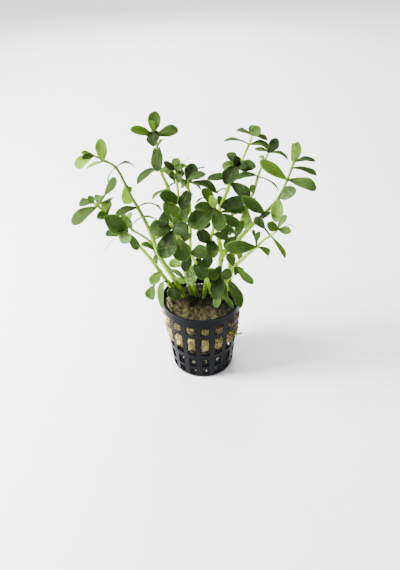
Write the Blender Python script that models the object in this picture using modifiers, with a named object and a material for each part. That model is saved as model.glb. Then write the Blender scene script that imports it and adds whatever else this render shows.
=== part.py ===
"""Water hyssop in an aquarium net pot.

The plant is a bunch of cut shoots standing in a plug of rockwool, and the plug sits in the upper
half of a small black net pot. Everything is in metres, with the origin at the middle of the pot's
underside, +Z up and the front of the pot towards -Y.
"""

import math

import bmesh
import bpy
from mathutils import Vector

MM = 0.001
TINY = 1e-9
MERGE = 0.01 * MM

# The pot: a five-centimetre aquarium pot.
RIM_RADIUS = 25.0 * MM
BASE_RADIUS = 19.5 * MM
POT_HEIGHT = 51.0 * MM
WALL = 1.0 * MM
LIP_HEIGHT = 1.2 * MM
LIP_STEP = 0.6 * MM
COLLAR_HEIGHT = 6.6 * MM
COLLAR_STEP = 0.5 * MM
BASE_ROUNDING = 1.2 * MM
POT_SEGMENTS = 32

# Its windows: columns round the wall, and rows given by their lower and upper edges.
COLUMNS = 16
FIRST_COLUMN = math.radians(4.1)
WINDOW_WIDTH = 5.3 * MM
LOW_WINDOW_WIDTH = 4.4 * MM
WINDOW_DEPTH = 8.0 * MM
LOW_ROWS = ((2.6, 7.4), (9.6, 16.4))
TALL_ROW = (20.0, 34.9)
TOP_ROW = (38.0, 44.0)

# The rockwool plug, which is pressed in from above and stops half way down.
WOOL_TOP = 47.0 * MM
WOOL_DOME = 0.8 * MM
DOME_SHARE = 0.93
WOOL_BOTTOM = 23.5 * MM
WOOL_RAGGED = 1.3 * MM
FLAT_SHARE = 0.8
RAGGED_STEP = 2.3
CLEARANCE = 0.3 * MM
BULGE = 0.7 * MM
BULGE_MARGIN = 0.45 * MM
BULGE_DEPTH = 4.0 * MM
ROOTED = 7.0 * MM
HOLE_RISE = 0.7

# The eye from which the plant's places are told, and how far the shoots spread in depth.
EYE = Vector((0.0, -318.0, 288.0)) * MM
DEPTH_SPREAD = 1.8

# A leaf's thickness, its thinnest stalk and the shape of its outline.
LEAF_THICKNESS = 0.9 * MM
STALK_WIDTH = 1.3 * MM
KEEL_SHARE = 2 / 3
LEAF_SIDES = 3
FEWEST_RINGS = 3
BLADE_LEAN = 1.8
BLADE_FULLNESS = 0.5
NARROW_LEAF = 5.1 * MM
BROAD_LEAF = 9.0 * MM
SUNK = 0.35 * MM

# Each shoot is its stem's route, from where it leaves the rockwool to its tip, then its leaves.
# A place is (across, up, back) in millimetres: across and up are read on the upright plane
# through the pot's axis as the eye sees it, and back is how far behind that plane it lies.
# A leaf is (place along the stem, its tip's place, width, arch, turn, stalk). The place along
# the stem counts the points of the route, arch is the rise of the midrib over its length, and
# turn is the angle in degrees between the leaf's upper face and the eye's line of sight. Stalk
# is the share of the length without a blade, or below zero for a blade that starts broad.
SHOOTS = {
    "far_left_shoot": {
        "radius": (1.8, 0.65),
        "stem": (
            (-11, 51, 5.5), (-14, 59.5, 6), (-18.8, 69.8, 6.5), (-24, 81, 7), (-27, 92, 8),
            (-29.6, 101.3, 9), (-32, 108, 9.5), (-34.7, 114.7, 10), (-37.4, 121, 10.5),
            (-39.9, 128, 11), (-44.5, 139.5, 12), (-51.5, 144.5, 13), (-55.8, 147, 13.5),
        ),
        "leaves": (
            (1.6, (-10.2, 60.8, 2), 3.6, 0.08, 20),
            (2.2, (-10.9, 65.8, 2), 3.4, 0.10, 30),
            (7.0, (-47.8, 110.6, 6), 5.0, 0.13, 28),
            (7.0, (-21.3, 111.8, 14), 3.6, 0.22, 84),
            (9.0, (-40.4, 117.1, 14), 7.0, 0.05, 10, -0.2),
            (9.0, (-37.2, 125.3, 13), 3.0, 0.08, 30),
            (10.0, (-33.7, 138.8, 14), 3.6, 0.28, 72),
            (10.0, (-45.3, 124.6, 8), 3.2, 0.34, 84),
            (11.0, (-50.9, 156.6, 11), 7.2, 0.06, 20, -0.2),
            (10.8, (-60.5, 140.0, 17), 3.8, 0.03, 55),
            (12.0, (-66.6, 140.7, 12), 7.0, 0.10, 22),
            (12.0, (-62.5, 145.4, 8), 3.6, 0.06, 18, -0.2),
            (12.0, (-62.4, 148.7, 12), 3.6, 0.06, 30),
        ),
    },
    "left_low_shoot": {
        "radius": (1.5, 0.7),
        "stem": (
            (-15, 53, 8), (-19.8, 61.3, 6), (-24.6, 70, 4), (-29.3, 79, 2), (-34.8, 87.3, 0),
            (-42, 96.8, -2), (-47, 103.5, -3), (-52.3, 110.2, -4), (-57, 116.2, -5),
            (-59.5, 118.7, -5.5),
        ),
        "leaves": (
            (0.6, (-15.8, 47.6, -3), 9.0, 0.06, 12, -0.2),
            (1.0, (-24.9, 42.0, -13), 4.6, 0.20, 40),
            (2.0, (-30.6, 60.6, -2), 6.6, 0.10, 15),
            (2.0, (-32.2, 49.6, 2), 7.0, 0.05, 12, 0.45),
            (5.0, (-54.2, 109.6, -10), 10.0, 0.10, 10),
            (5.0, (-54.9, 98.2, 0), 5.2, 0.06, 15),
            (5.4, (-36.4, 86.8, -2), 5.6, 0.06, 20),
            (5.6, (-44.8, 90.8, -14), 7.4, 0.06, 15),
            (7.0, (-58.7, 108.8, -8), 5.4, 0.12, 15),
            (7.0, (-51.6, 120.2, 0), 6.2, 0.08, 18),
            (8.0, (-73.4, 105.2, -9), 7.0, 0.16, 20),
            (8.0, (-45.4, 133.9, -1), 5.0, 0.03, 20, 0.35),
            (8.0, (-54.2, 123.0, 2), 6.2, 0.10, 25),
            (9.0, (-67.2, 119.2, -2), 5.2, 0.05, 20),
            (9.0, (-61.9, 122.8, -9), 4.2, 0.10, 15),
            (7.0, (-49.1, 118.1, -6), 2.2, 0.06, 30),
            (7.2, (-47.4, 121.5, 2), 3.0, 0.14, 40),
        ),
    },
    "left_back_shoot": {
        "radius": (1.4, 0.65),
        "stem": (
            (-12, 54.5, 10), (-17, 65, 11), (-22, 75, 12), (-26.3, 83.5, 13), (-28.6, 91, 13.5),
            (-33.5, 96, 15), (-39.2, 100.4, 16.5), (-41.4, 105, 17),
        ),
        "leaves": (
            (3.0, (-27.4, 74.6, 9), 4.2, 0.08, 25),
            (3.3, (-34.8, 90.4, 11), 4.2, 0.10, 35),
            (4.0, (-20, 96, 20), 4.6, 0.12, 45),
            (4.0, (-25.2, 96.6, 14), 4.2, 0.08, 20),
            (6.0, (-44.6, 110.2, 12), 4.8, 0.10, 15),
            (6.2, (-23.2, 105.4, 19), 4.0, 0.26, 84),
            (7.0, (-45.6, 112.6, 21), 3.8, 0.10, 40),
            (7.0, (-38.0, 111.6, 15), 3.6, 0.10, 30),
        ),
    },
    "tallest_shoot": {
        "radius": (1.6, 0.75),
        "stem": (
            (-4, 53, 8.2), (-9, 68, 10), (-11, 84, 12), (-12.5, 98, 13.5), (-14.5, 112, 15),
            (-16.8, 126, 16), (-20.2, 137.2, 16.5), (-21.5, 150.5, 17), (-22.3, 157, 17),
            (-22.4, 159.6, 17),
        ),
        "leaves": (
            (0.6, (-12.8, 65.8, 6), 4.2, 0.06, 20),
            (1.4, (-19.2, 76.6, 11.5), 6.4, 0.08, 160),
            (3.0, (-20, 109, 20), 5.4, 0.12, 50),
            (3.0, (-3, 107, 19), 5.4, 0.12, 50),
            (5.0, (-26.2, 119.5, 12), 3.6, 0.10, 60),
            (5.0, (-11, 128.8, 21), 3.6, 0.14, 78),
            (6.0, (-33.9, 129.3, 12), 5.8, 0.24, 44),
            (6.0, (-12.6, 137.6, 14), 5.6, 0.10, 30),
            (6.0, (-12.2, 128.6, 14), 3.2, 0.12, 60),
            (7.0, (-21.9, 136.6, 11), 7.2, 0.06, 12, -0.3),
            (7.0, (-20.3, 156, 28), 4.2, 0.12, 50),
            (7.0, (-17.9, 155.2, 19), 2.8, 0.08, 60),
            (8.0, (-35.1, 161.2, 13), 5.4, 0.05, 20),
            (8.0, (-9.8, 160.3, 19), 6.8, 0.08, 18),
            (9.0, (-23.2, 151.2, 11), 7.4, 0.06, 12, -0.3),
            (9.0, (-20.9, 170.6, 14), 7.4, 0.04, 10),
            (9.0, (-25.0, 165.4, 10), 4.4, 0.05, 20),
        ),
    },
    "centre_left_shoot": {
        "radius": (1.4, 0.75),
        "stem": (
            (-6, 52, 6.8), (-8.5, 66, 6), (-9.5, 80, 5.5), (-10, 92, 5), (-10, 104.5, 5),
            (-11, 117, 5), (-11.8, 129, 4.5), (-12.2, 137, 4),
        ),
        "leaves": (
            (4.0, (-20.2, 117.2, 0), 9.6, 0.08, 12, -0.15),
            (4.0, (-8.8, 91, -6), 7.8, 0.10, 15),
            (4.0, (-7.5, 112.5, 14), 6.0, 0.12, 50),
            (5.0, (-22.2, 122.4, 1), 8.4, 0.10, 15),
            (5.0, (-3, 122, 10), 4.6, 0.12, 60),
            (6.4, (-16.4, 134.4, 1), 5.2, 0.06, 25),
            (6.6, (-7.6, 134, 1), 6.0, 0.08, 25),
            (6.6, (-10.6, 129.4, -4), 4.4, 0.08, 15),
            (7.0, (-18.6, 142.2, 1), 3.8, 0.06, 15),
            (7.0, (-11.4, 144.4, 6), 5.4, 0.06, 20),
            (7.0, (-9, 140.6, -1), 4.2, 0.08, 10),
            (7.0, (-5.9, 139.8, 6), 3.8, 0.08, 40),
        ),
    },
    "centre_shoot": {
        "radius": (1.4, 0.7),
        "stem": (
            (-2.5, 51, 5.4), (-5, 60.5, 2), (-5.8, 72, -1), (-5.9, 84, -2.5), (-5.5, 96, -3),
            (-5, 110, -3), (-5.5, 124, -2.5), (-5.6, 131, -2),
        ),
        "leaves": (
            (4.5, (6.6, 102.0, -6), 6.4, 0.10, 12),
            (5.6, (-9.4, 106.2, -6), 5.6, 0.08, 12),
            (6.0, (-9.4, 112.4, -9), 7.2, 0.08, 10, -0.2),
            (6.0, (-3.5, 130, 8), 5.0, 0.12, 55),
            (6.6, (10.2, 122.6, -4), 5.8, 0.18, 42),
            (6.8, (1.6, 124.8, -1), 3.6, 0.10, 60),
            (6.8, (-9.6, 128.4, -1), 5.8, 0.10, 20),
            (7.0, (-1.9, 140.7, -3), 7.8, 0.04, 8, -0.15),
            (7.0, (4.3, 134, -6), 4.6, 0.10, 25),
            (7.0, (4.3, 138.2, 3), 2.6, 0.16, 78),
        ),
    },
    "front_left_shoot": {
        "radius": (1.2, 0.85),
        "stem": (
            (6.3, 51.5, 5.5), (5.3, 57.5, 3), (3.6, 64.5, 0), (-0.5, 71.5, -4), (-2.8, 75.5, -6),
            (-6, 83, -9), (-11.5, 91, -12), (-14.5, 97.5, -13), (-15.3, 101, -13.5),
            (-17.5, 104, -14),
        ),
        "leaves": (
            (3.0, (-2.1, 79.8, -4), 4.6, 0.08, 20),
            (4.0, (-7.6, 60, -12), 7.4, 0.08, 12),
            (4.0, (1.8, 63.4, -11), 8.0, 0.08, 15, -0.2),
            (5.0, (4.6, 83.4, -11), 8.4, 0.08, 20),
            (5.0, (-9.4, 69.4, -16), 5.8, 0.08, 15),
            (6.4, (-10, 77.3, -18), 10.4, 0.10, 10),
            (6.0, (-21, 91.5, -8), 5.6, 0.12, 40),
            (7.5, (-22.8, 79.8, -20), 10.8, 0.10, 10),
            (8.0, (-29.2, 98.8, -16), 9.4, 0.10, 15),
            (8.0, (-7.4, 98.6, -18), 8.0, 0.08, 10),
            (8.0, (-15.4, 108.5, -7), 4.6, 0.12, 45),
            (9.0, (-23.6, 106.4, -13), 8.8, 0.08, 15),
        ),
    },
    "centre_front_shoot": {
        "radius": (1.4, 0.75),
        "stem": (
            (1.6, 49.5, 3.3), (2.8, 60, 4.5), (4.6, 72, 4), (5.5, 82, 2), (6, 91, 0),
            (8, 99, -2), (8.8, 107, -2.5), (9.2, 113, -3),
        ),
        "leaves": (
            (3.2, (3.6, 71.8, -4), 7.0, 0.08, 12),
            (4.0, (8, 79, -7), 8.2, 0.08, 10, -0.2),
            (4.0, (-2, 97.6, -5), 7.6, 0.08, 12),
            (4.6, (17, 92.6, -3), 4.8, 0.10, 20),
            (5.3, (19.8, 96.6, -4), 6.2, 0.10, 15),
            (6.3, (23.6, 101.2, -5), 6.2, 0.12, 15),
            (7.0, (-6.2, 101.6, -7), 11.4, 0.08, 10, -0.1),
            (7.0, (11.4, 97.6, -11), 8.4, 0.08, 10),
            (7.0, (-3, 113.4, -10), 6.0, 0.10, 20),
            (7.0, (2.2, 125.6, -1), 6.2, 0.10, 20),
            (7.0, (6.2, 121, -7), 4.8, 0.08, 20),
            (6.8, (-1.4, 116.4, 5), 2.6, 0.26, 78),
        ),
    },
    "right_centre_shoot": {
        "radius": (1.75, 0.7),
        "stem": (
            (9, 52, 7), (11, 62, 5.5), (11.8, 72, 4), (12.6, 82, 3), (11.3, 91, 2.5),
            (10.3, 99, 2.5), (10.8, 106.5, 2.5), (11.9, 113.3, 2.5), (14.3, 119, 3),
            (17.6, 128.5, 3.5), (21.3, 138.8, 4.5), (24, 142.5, 5), (27.5, 150.7, 6.5),
            (29, 156, 7.5),
        ),
        "leaves": (
            (6.5, (24.8, 109.5, 6), 4.8, 0.10, 30),
            (2.6, (16.8, 84.6, 0), 4.2, 0.08, 30),
            (7.0, (11.2, 121, 4), 4.4, 0.10, 30),
            (7.0, (26.8, 117.2, -3), 7.6, 0.10, 15),
            (7.0, (26.6, 112.2, 1), 6.6, 0.10, 15),
            (8.6, (10.3, 121.8, 8), 2.4, 0.12, 82),
            (8.6, (20.5, 124, 10), 2.6, 0.20, 82),
            (9.0, (4.8, 131.2, 1), 5.6, 0.25, 45),
            (9.0, (28.8, 119.4, -2), 7.2, 0.08, 15),
            (10.0, (31.8, 137.8, 0), 7.0, 0.08, 15, -0.15),
            (10.0, (26.6, 137.6, -2), 3.6, 0.05, 10),
            (10.0, (13, 138.6, 4), 5.4, 0.12, 20),
            (10.0, (16.6, 146.6, 8), 5.6, 0.06, 20),
            (10.0, (20.2, 144.8, 1), 4.8, 0.06, 15),
            (10.0, (14.8, 127.4, -4), 9.4, 0.08, 10),
            (12.0, (14.2, 153.1, 4), 3.6, 0.12, 70),
            (12.0, (38.5, 149.8, 9), 5.2, 0.12, 42),
            (13.0, (33.4, 160.2, 6), 6.0, 0.05, 12),
            (13.0, (29.8, 161.8, 9), 4.6, 0.06, 20),
            (13.0, (20.6, 158.8, 10), 4.2, 0.10, 55),
            (13.0, (37.4, 152.9, 10), 3.6, 0.10, 38),
        ),
    },
    "right_back_shoot": {
        "radius": (1.45, 0.65),
        "stem": (
            (13, 53.5, 8.8), (16, 64, 10), (18, 75, 11), (19.5, 85, 12), (21.3, 94, 13),
            (24, 104, 14), (27.4, 114.5, 15), (30.6, 122, 16), (32.9, 131.7, 17),
            (34.5, 137, 17.5), (36.6, 141.9, 18), (38.3, 145.8, 18.5),
        ),
        "leaves": (
            (4.0, (14.8, 85, 6), 6.0, 0.10, 15),
            (4.0, (14, 101, 17), 5.4, 0.12, 50),
            (4.0, (25.6, 104.4, 4), 5.0, 0.08, 20),
            (6.0, (27.2, 98.6, 8), 7.4, 0.08, 165),
            (6.0, (18.4, 107.8, 12), 5.2, 0.08, 30),
            (6.0, (31, 117.5, 25), 5.0, 0.12, 50),
            (7.0, (28.9, 127, 13), 4.2, 0.08, 20),
            (8.0, (21.1, 130.6, 14), 5.2, 0.18, 45),
            (8.0, (45.1, 122.4, 15), 2.8, 0.13, 72),
            (10.0, (32.9, 143.8, 20), 3.2, 0.10, 45),
            (11.0, (42.8, 153.8, 17), 6.4, 0.04, 8),
            (11.0, (35.3, 150.2, 23), 2.6, 0.06, 50),
            (11.0, (30.6, 147.9, 16), 3.8, 0.10, 55),
            (11.0, (49.2, 141.0, 20), 4.0, 0.18, 55),
        ),
    },
    "right_tall_shoot": {
        "radius": (1.7, 0.7),
        "stem": (
            (10.5, 50, 4), (15, 62, 1), (18.5, 75, -0.5), (20.5, 86, -1), (24.2, 93.5, -1),
            (29.6, 100.2, -1), (33.2, 104, -1), (37.3, 108.4, -1), (42.3, 114.3, -1),
            (45.2, 118.6, -1), (47.2, 123.5, -1), (49.2, 129.3, -1), (51.3, 136.5, -1),
            (52.2, 140.5, -1),
        ),
        "leaves": (
            (3.0, (23.6, 76.2, 3), 4.4, 0.08, 35),
            (7.0, (24, 119.8, -6), 6.6, 0.10, 15),
            (6.4, (41.0, 109.2, -8), 3.6, 0.08, 20),
            (9.0, (54.8, 123, -6), 7.6, 0.10, 22),
            (9.0, (44.4, 102.6, -9), 7.0, 0.08, 12),
            (11.0, (33.5, 141.4, -5), 6.4, 0.08, 15),
            (11.0, (65.9, 123.0, -5), 7.0, 0.16, 25),
            (12.0, (65.4, 131.6, 2), 4.8, 0.09, 48),
            (12.0, (50.4, 145.5, 9), 3.6, 0.08, 50),
            (13.0, (53.8, 151.7, -2), 5.8, 0.04, 12, -0.2),
            (13.0, (50.7, 151.2, -6), 3.4, 0.05, 30),
            (12.7, (63.8, 140.6, 1), 4.4, 0.12, 48),
        ),
    },
    "right_low_shoot": {
        "radius": (1.4, 0.65),
        "stem": (
            (14, 48.5, 2), (16.5, 58, -1), (18.8, 68.5, -4), (20.5, 72.5, -5), (26.3, 79, -7),
            (29.7, 82.4, -8), (33.5, 86.2, -9), (37.4, 90.7, -10), (41.4, 93.6, -11),
            (45.6, 97.8, -12),
        ),
        "leaves": (
            (1.3, (24.6, 40.6, -13), 6.6, 0.12, 18, -0.2),
            (3.0, (32.4, 59.2, -10), 5.0, 0.08, 12),
            (3.0, (25.8, 67.4, -7), 4.6, 0.08, 25),
            (3.0, (20.7, 66.0, -9), 3.2, 0.10, 40),
            (3.0, (16.2, 82, -4), 5.6, 0.08, 20),
            (3.8, (21, 83.6, -3), 4.4, 0.10, 30),
            (6.0, (14.6, 86.2, -15), 7.8, 0.06, 12),
            (6.0, (41.0, 79.4, -8), 4.8, 0.24, 35),
            (6.0, (35.2, 96.8, -12), 3.2, 0.06, 20, 0.4),
            (6.0, (30.8, 98.2, -5), 2.6, 0.06, 40, 0.45),
            (8.0, (31.8, 106.4, -9), 5.0, 0.06, 15, 0.35),
            (8.0, (51, 77.4, -13), 3.2, 0.08, 30),
            (9.0, (38.9, 101.8, -14), 5.6, 0.08, 12),
            (9.0, (50.2, 107.2, -10), 3.8, 0.10, 25),
            (9.0, (53.4, 95.6, -14), 4.6, 0.06, 15),
        ),
    },
    "short_front_shoot": {
        "radius": (1.3, 0.95),
        "stem": ((11, 46, -1.3), (11.5, 55, -5), (11, 63.5, -8), (11.5, 67.5, -9)),
        "leaves": (
            (0.8, (9.4, 41.3, -10), 5.0, 0.08, 15),
            (1.0, (19.9, 40.6, -10), 3.4, 0.08, 25),
            (3.0, (9.8, 47.2, -16), 8.6, 0.08, 10, -0.3),
            (2.3, (15.2, 49.2, -14), 4.8, 0.06, 25),
            (3.0, (3.4, 65.6, -12), 7.8, 0.08, 20),
            (3.0, (18.8, 65.4, -12), 7.4, 0.08, 20),
            (3.0, (9.4, 72.6, -8), 5.6, 0.08, 30),
        ),
    },
}


def clear_scene():
    for old in list(bpy.data.objects):
        bpy.data.objects.remove(old)


def collection_named(name):
    group = bpy.data.collections.new(name)
    bpy.context.scene.collection.children.link(group)
    return group


def material_named(name, colour, roughness):
    material = bpy.data.materials.new(name)
    material.use_nodes = True
    shader = material.node_tree.nodes["Principled BSDF"]
    shader.inputs["Base Color"].default_value = (*colour, 1)
    shader.inputs["Roughness"].default_value = roughness
    material.diffuse_color = (*colour, 1)
    return material


def add_object(name, mesh, group, material=None):
    thing = bpy.data.objects.new(name, mesh)
    group.objects.link(thing)
    if material:
        mesh.materials.append(material)
    return thing


def make_cutter(thing):
    thing.hide_render = True
    thing.display_type = "WIRE"


def add_boolean(thing, operation, operands):
    cut = thing.modifiers.new("cut", "BOOLEAN")
    cut.operation = operation
    cut.operand_type = "COLLECTION"
    cut.collection = operands
    cut.solver = "EXACT"
    cut.use_self = operation == "UNION"


def turned(name, profile, steps, start, group, material):
    """A profile of (radius, height) pairs, turned round the pot's axis from a starting angle."""
    mesh = bpy.data.meshes.new(name)
    points = [(r * math.cos(start), r * math.sin(start), height) for r, height in profile]
    edges = [(i, i + 1) for i in range(len(points) - 1)]
    mesh.from_pydata(points, edges, [])
    thing = add_object(name, mesh, group, material)
    screw = thing.modifiers.new("turn", "SCREW")
    screw.steps = steps
    screw.render_steps = steps
    screw.use_merge_vertices = True
    screw.merge_threshold = MERGE
    return thing


def wall_radius(height):
    """The outer radius of the pot's tapered wall at a height."""
    top = RIM_RADIUS - LIP_STEP - COLLAR_STEP
    share = height / (POT_HEIGHT - COLLAR_HEIGHT)
    return BASE_RADIUS + (top - BASE_RADIUS) * min(share, 1.0)


def make_pot(group, cutters, material):
    collar = RIM_RADIUS - LIP_STEP
    under_collar = POT_HEIGHT - COLLAR_HEIGHT
    inside_top = collar - WALL
    profile = (
        (0, WALL),
        (BASE_RADIUS - WALL, WALL),
        (wall_radius(under_collar) - WALL, under_collar),
        (inside_top, POT_HEIGHT),
        (RIM_RADIUS, POT_HEIGHT),
        (RIM_RADIUS, POT_HEIGHT - LIP_HEIGHT),
        (collar, POT_HEIGHT - LIP_HEIGHT),
        (collar, under_collar),
        (wall_radius(under_collar), under_collar),
        (BASE_RADIUS, BASE_ROUNDING),
        (BASE_RADIUS - BASE_ROUNDING, 0),
        (0, 0),
    )
    pot = turned("net_pot", profile, POT_SEGMENTS, 0, group, material)
    for low, high in LOW_ROWS:
        cut_row(LOW_WINDOW_WIDTH, low * MM, high * MM, cutters)
    for low, high in (TALL_ROW, TOP_ROW):
        cut_row(WINDOW_WIDTH, low * MM, high * MM, cutters)
    return pot


def cut_row(width, low, high, cutters):
    """A cutter for each window of a row."""
    middle = (low + high) / 2
    for column in range(COLUMNS):
        window = block(width, WINDOW_DEPTH, high - low)
        place_round(window, column, wall_radius(middle), middle)
        make_cutter(add_object("window", window, cutters))


def block(width, depth, height):
    mesh = bpy.data.meshes.new("block")
    shape = bmesh.new()
    bmesh.ops.create_cube(shape, size=1)
    bmesh.ops.scale(shape, vec=(width, depth, height), verts=shape.verts)
    shape.to_mesh(mesh)
    shape.free()
    return mesh


def place_round(mesh, column, radius, height):
    """Moves a mesh from the origin to a column of the pot's wall, turned to face outwards."""
    turn = FIRST_COLUMN + column * math.tau / COLUMNS
    for vertex in mesh.vertices:
        x = vertex.co.x
        y = vertex.co.y - radius
        vertex.co.x = x * math.cos(turn) - y * math.sin(turn)
        vertex.co.y = x * math.sin(turn) + y * math.cos(turn)
        vertex.co.z += height


def make_wool(group, bulges, material):
    """The plug, and a bulge to fuse to it in each window that it fills."""
    inside = wall_radius(WOOL_TOP) - WALL - CLEARANCE
    low_inside = wall_radius(WOOL_BOTTOM) - WALL - CLEARANCE
    profile = (
        (0, WOOL_TOP + WOOL_DOME),
        (inside * DOME_SHARE, WOOL_TOP - WOOL_DOME),
        (inside, WOOL_TOP - 3 * WOOL_DOME),
        (low_inside, WOOL_BOTTOM + WOOL_RAGGED),
        (low_inside * FLAT_SHARE, WOOL_BOTTOM),
        (0, WOOL_BOTTOM),
    )
    between_columns = FIRST_COLUMN + math.pi / COLUMNS
    plug = turned("rockwool_plug", profile, COLUMNS, between_columns, group, material)
    top = TALL_ROW[1] * MM - BULGE_MARGIN
    for column in range(COLUMNS):
        bottom = WOOL_BOTTOM + WOOL_RAGGED * (1 + math.sin(RAGGED_STEP * column))
        bulge = block(WINDOW_WIDTH - 2 * BULGE_MARGIN, BULGE_DEPTH, top - bottom)
        outside = wall_radius(bottom) + BULGE
        place_round(bulge, column, outside - BULGE_DEPTH / 2, (top + bottom) / 2)
        make_cutter(add_object("bulge", bulge, bulges))
    return plug


def seen_at(place):
    """The point that the eye sees at (across, up) when it lies back behind the upright plane."""
    across, up, back = place
    on_plane = Vector((across * MM, 0, up * MM))
    return EYE + (on_plane - EYE) * (1 - back * MM / EYE.y)


def spread_out(place, foot_back):
    """The place with its distance behind or before the shoot's foot made greater."""
    across, up, back = place
    return across, up, foot_back + (back - foot_back) * DEPTH_SPREAD


def along_route(points, place):
    """A point of the smooth curve through the points, at a count of them such as 2.5."""
    first = min(max(int(place), 0), len(points) - 2)
    t = place - first
    a = points[max(first - 1, 0)]
    b = points[first]
    c = points[first + 1]
    d = points[min(first + 2, len(points) - 1)]
    return 0.5 * (2 * b + (c - a) * t + (2 * a - 5 * b + 4 * c - d) * t**2
                  + (3 * b - a - 3 * c + d) * t**3)


def make_tube(name, points, radii, group, material=None):
    """A tube through the points, its radius going evenly from the first of the radii to the last."""
    curve = bpy.data.curves.new(name, "CURVE")
    curve.dimensions = "3D"
    curve.bevel_depth = 1.0
    curve.bevel_resolution = 0
    curve.use_fill_caps = True
    spline = curve.splines.new("POLY")
    spline.points.add(len(points) - 1)
    for i, (spot, point) in enumerate(zip(spline.points, points)):
        share = i / (len(points) - 1)
        spot.co = (*point, 1)
        spot.radius = (radii[0] + (radii[1] - radii[0]) * share) * MM
    guide = bpy.data.objects.new(name, curve)
    bpy.context.scene.collection.objects.link(guide)
    evaluated = guide.evaluated_get(bpy.context.evaluated_depsgraph_get())
    mesh = bpy.data.meshes.new_from_object(evaluated)
    bpy.data.objects.remove(guide)
    shape = bmesh.new()
    shape.from_mesh(mesh)
    bmesh.ops.remove_doubles(shape, verts=shape.verts, dist=MERGE)
    bmesh.ops.triangulate(shape, faces=shape.faces)
    shape.to_mesh(mesh)
    shape.free()
    mesh.name = name
    return add_object(name, mesh, group, material)


def leaf_frame(base, tip, turn):
    """The leaf's direction, its sideways direction and the normal of its upper face."""
    along = (tip - base).normalized()
    to_eye = (EYE - (base + tip) / 2).normalized()
    facing = (to_eye - along * to_eye.dot(along)).normalized()
    skyward = along.cross(facing)
    if skyward.z < 0:
        skyward = -skyward
    normal = facing * math.cos(turn) + skyward * math.sin(turn)
    return along, along.cross(normal), normal


def leaf_half_width(share, width, stalk):
    """Half the width at a share of the length: a thin stalk, then a blade broadest past its middle."""
    if share <= stalk:
        return STALK_WIDTH / 2
    blade = (share - stalk) / (1 - stalk)
    return max(STALK_WIDTH, width * math.sin(math.pi * blade**BLADE_LEAN) ** BLADE_FULLNESS) / 2


def leaf_mesh(name, base, tip, width, arch, turn, stalk=0.0):
    """A fleshy leaf, keeled below: a coarse sphere drawn out along its midrib and arched."""
    along, side, normal = leaf_frame(base, tip, math.radians(turn))
    base = base - along * SUNK
    length = (tip - base).length
    shape = bmesh.new()
    rings = FEWEST_RINGS + (width * MM > NARROW_LEAF) + (width * MM > BROAD_LEAF)
    bmesh.ops.create_uvsphere(shape, u_segments=LEAF_SIDES, v_segments=rings, radius=1)
    for vertex in shape.verts:
        share = (vertex.co.z + 1) / 2
        round_off = math.sqrt(max(1 - vertex.co.z**2, TINY))
        half = leaf_half_width(share, width * MM, stalk) if 0 < share < 1 else 0
        across = vertex.co.y / round_off / math.sin(math.tau / LEAF_SIDES) * half
        keel = -vertex.co.x / round_off * LEAF_THICKNESS * KEEL_SHARE if 0 < share < 1 else 0
        rise = arch * length * 4 * share * (1 - share)
        vertex.co = base + along * (length * share) + side * across + normal * (keel + rise)
    bmesh.ops.recalc_face_normals(shape, faces=shape.faces)
    bmesh.ops.triangulate(shape, faces=shape.faces)
    mesh = bpy.data.meshes.new(name)
    shape.to_mesh(mesh)
    shape.free()
    return mesh


def make_shoot(name, shoot, group, holes, material):
    """One shoot: its stem, the leaves to fuse to it, and a hole in the wool for its foot."""
    foot_back = shoot["stem"][0][2]
    route = [seen_at(spread_out(place, foot_back)) for place in shoot["stem"]]
    foot = route[0] - Vector((0, 0, ROOTED))
    stem = make_tube(name, [foot] + route, shoot["radius"], group, material)
    leaves = collection_named(name + "_leaves")
    for i, leaf in enumerate(shoot["leaves"]):
        base = along_route(route, leaf[0])
        mesh = leaf_mesh("leaf", base, seen_at(spread_out(leaf[1], foot_back)), *leaf[2:])
        make_cutter(add_object(f"{name}_leaf_{i}", mesh, leaves))
    room = shoot["radius"][0] + CLEARANCE / MM
    below = foot - Vector((0, 0, CLEARANCE))
    above = route[0].lerp(route[1], HOLE_RISE)
    make_cutter(make_tube(name + "_hole", [below, route[0], above], (room, room), holes))
    return stem, leaves


def main():
    clear_scene()
    parts = collection_named("water_hyssop")
    windows = collection_named("window_cutters")
    bulges = collection_named("wool_bulges")
    holes = collection_named("stem_holes")
    black_plastic = material_named("black_plastic", (0.022, 0.026, 0.032), 0.45)
    rockwool = material_named("rockwool", (0.42, 0.34, 0.17), 0.95)
    leaf_green = material_named("leaf_green", (0.13, 0.27, 0.05), 0.4)
    pot = make_pot(parts, windows, black_plastic)
    wool = make_wool(parts, bulges, rockwool)
    shoots = [make_shoot(name, shoot, parts, holes, leaf_green) for name, shoot in SHOOTS.items()]
    add_boolean(pot, "DIFFERENCE", windows)
    add_boolean(wool, "UNION", bulges)
    add_boolean(wool, "DIFFERENCE", holes)
    for stem, leaves in shoots:
        add_boolean(stem, "UNION", leaves)


main()
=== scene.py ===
import math
import random

import bmesh
import bpy
from mathutils import Matrix, Vector, noise


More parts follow.
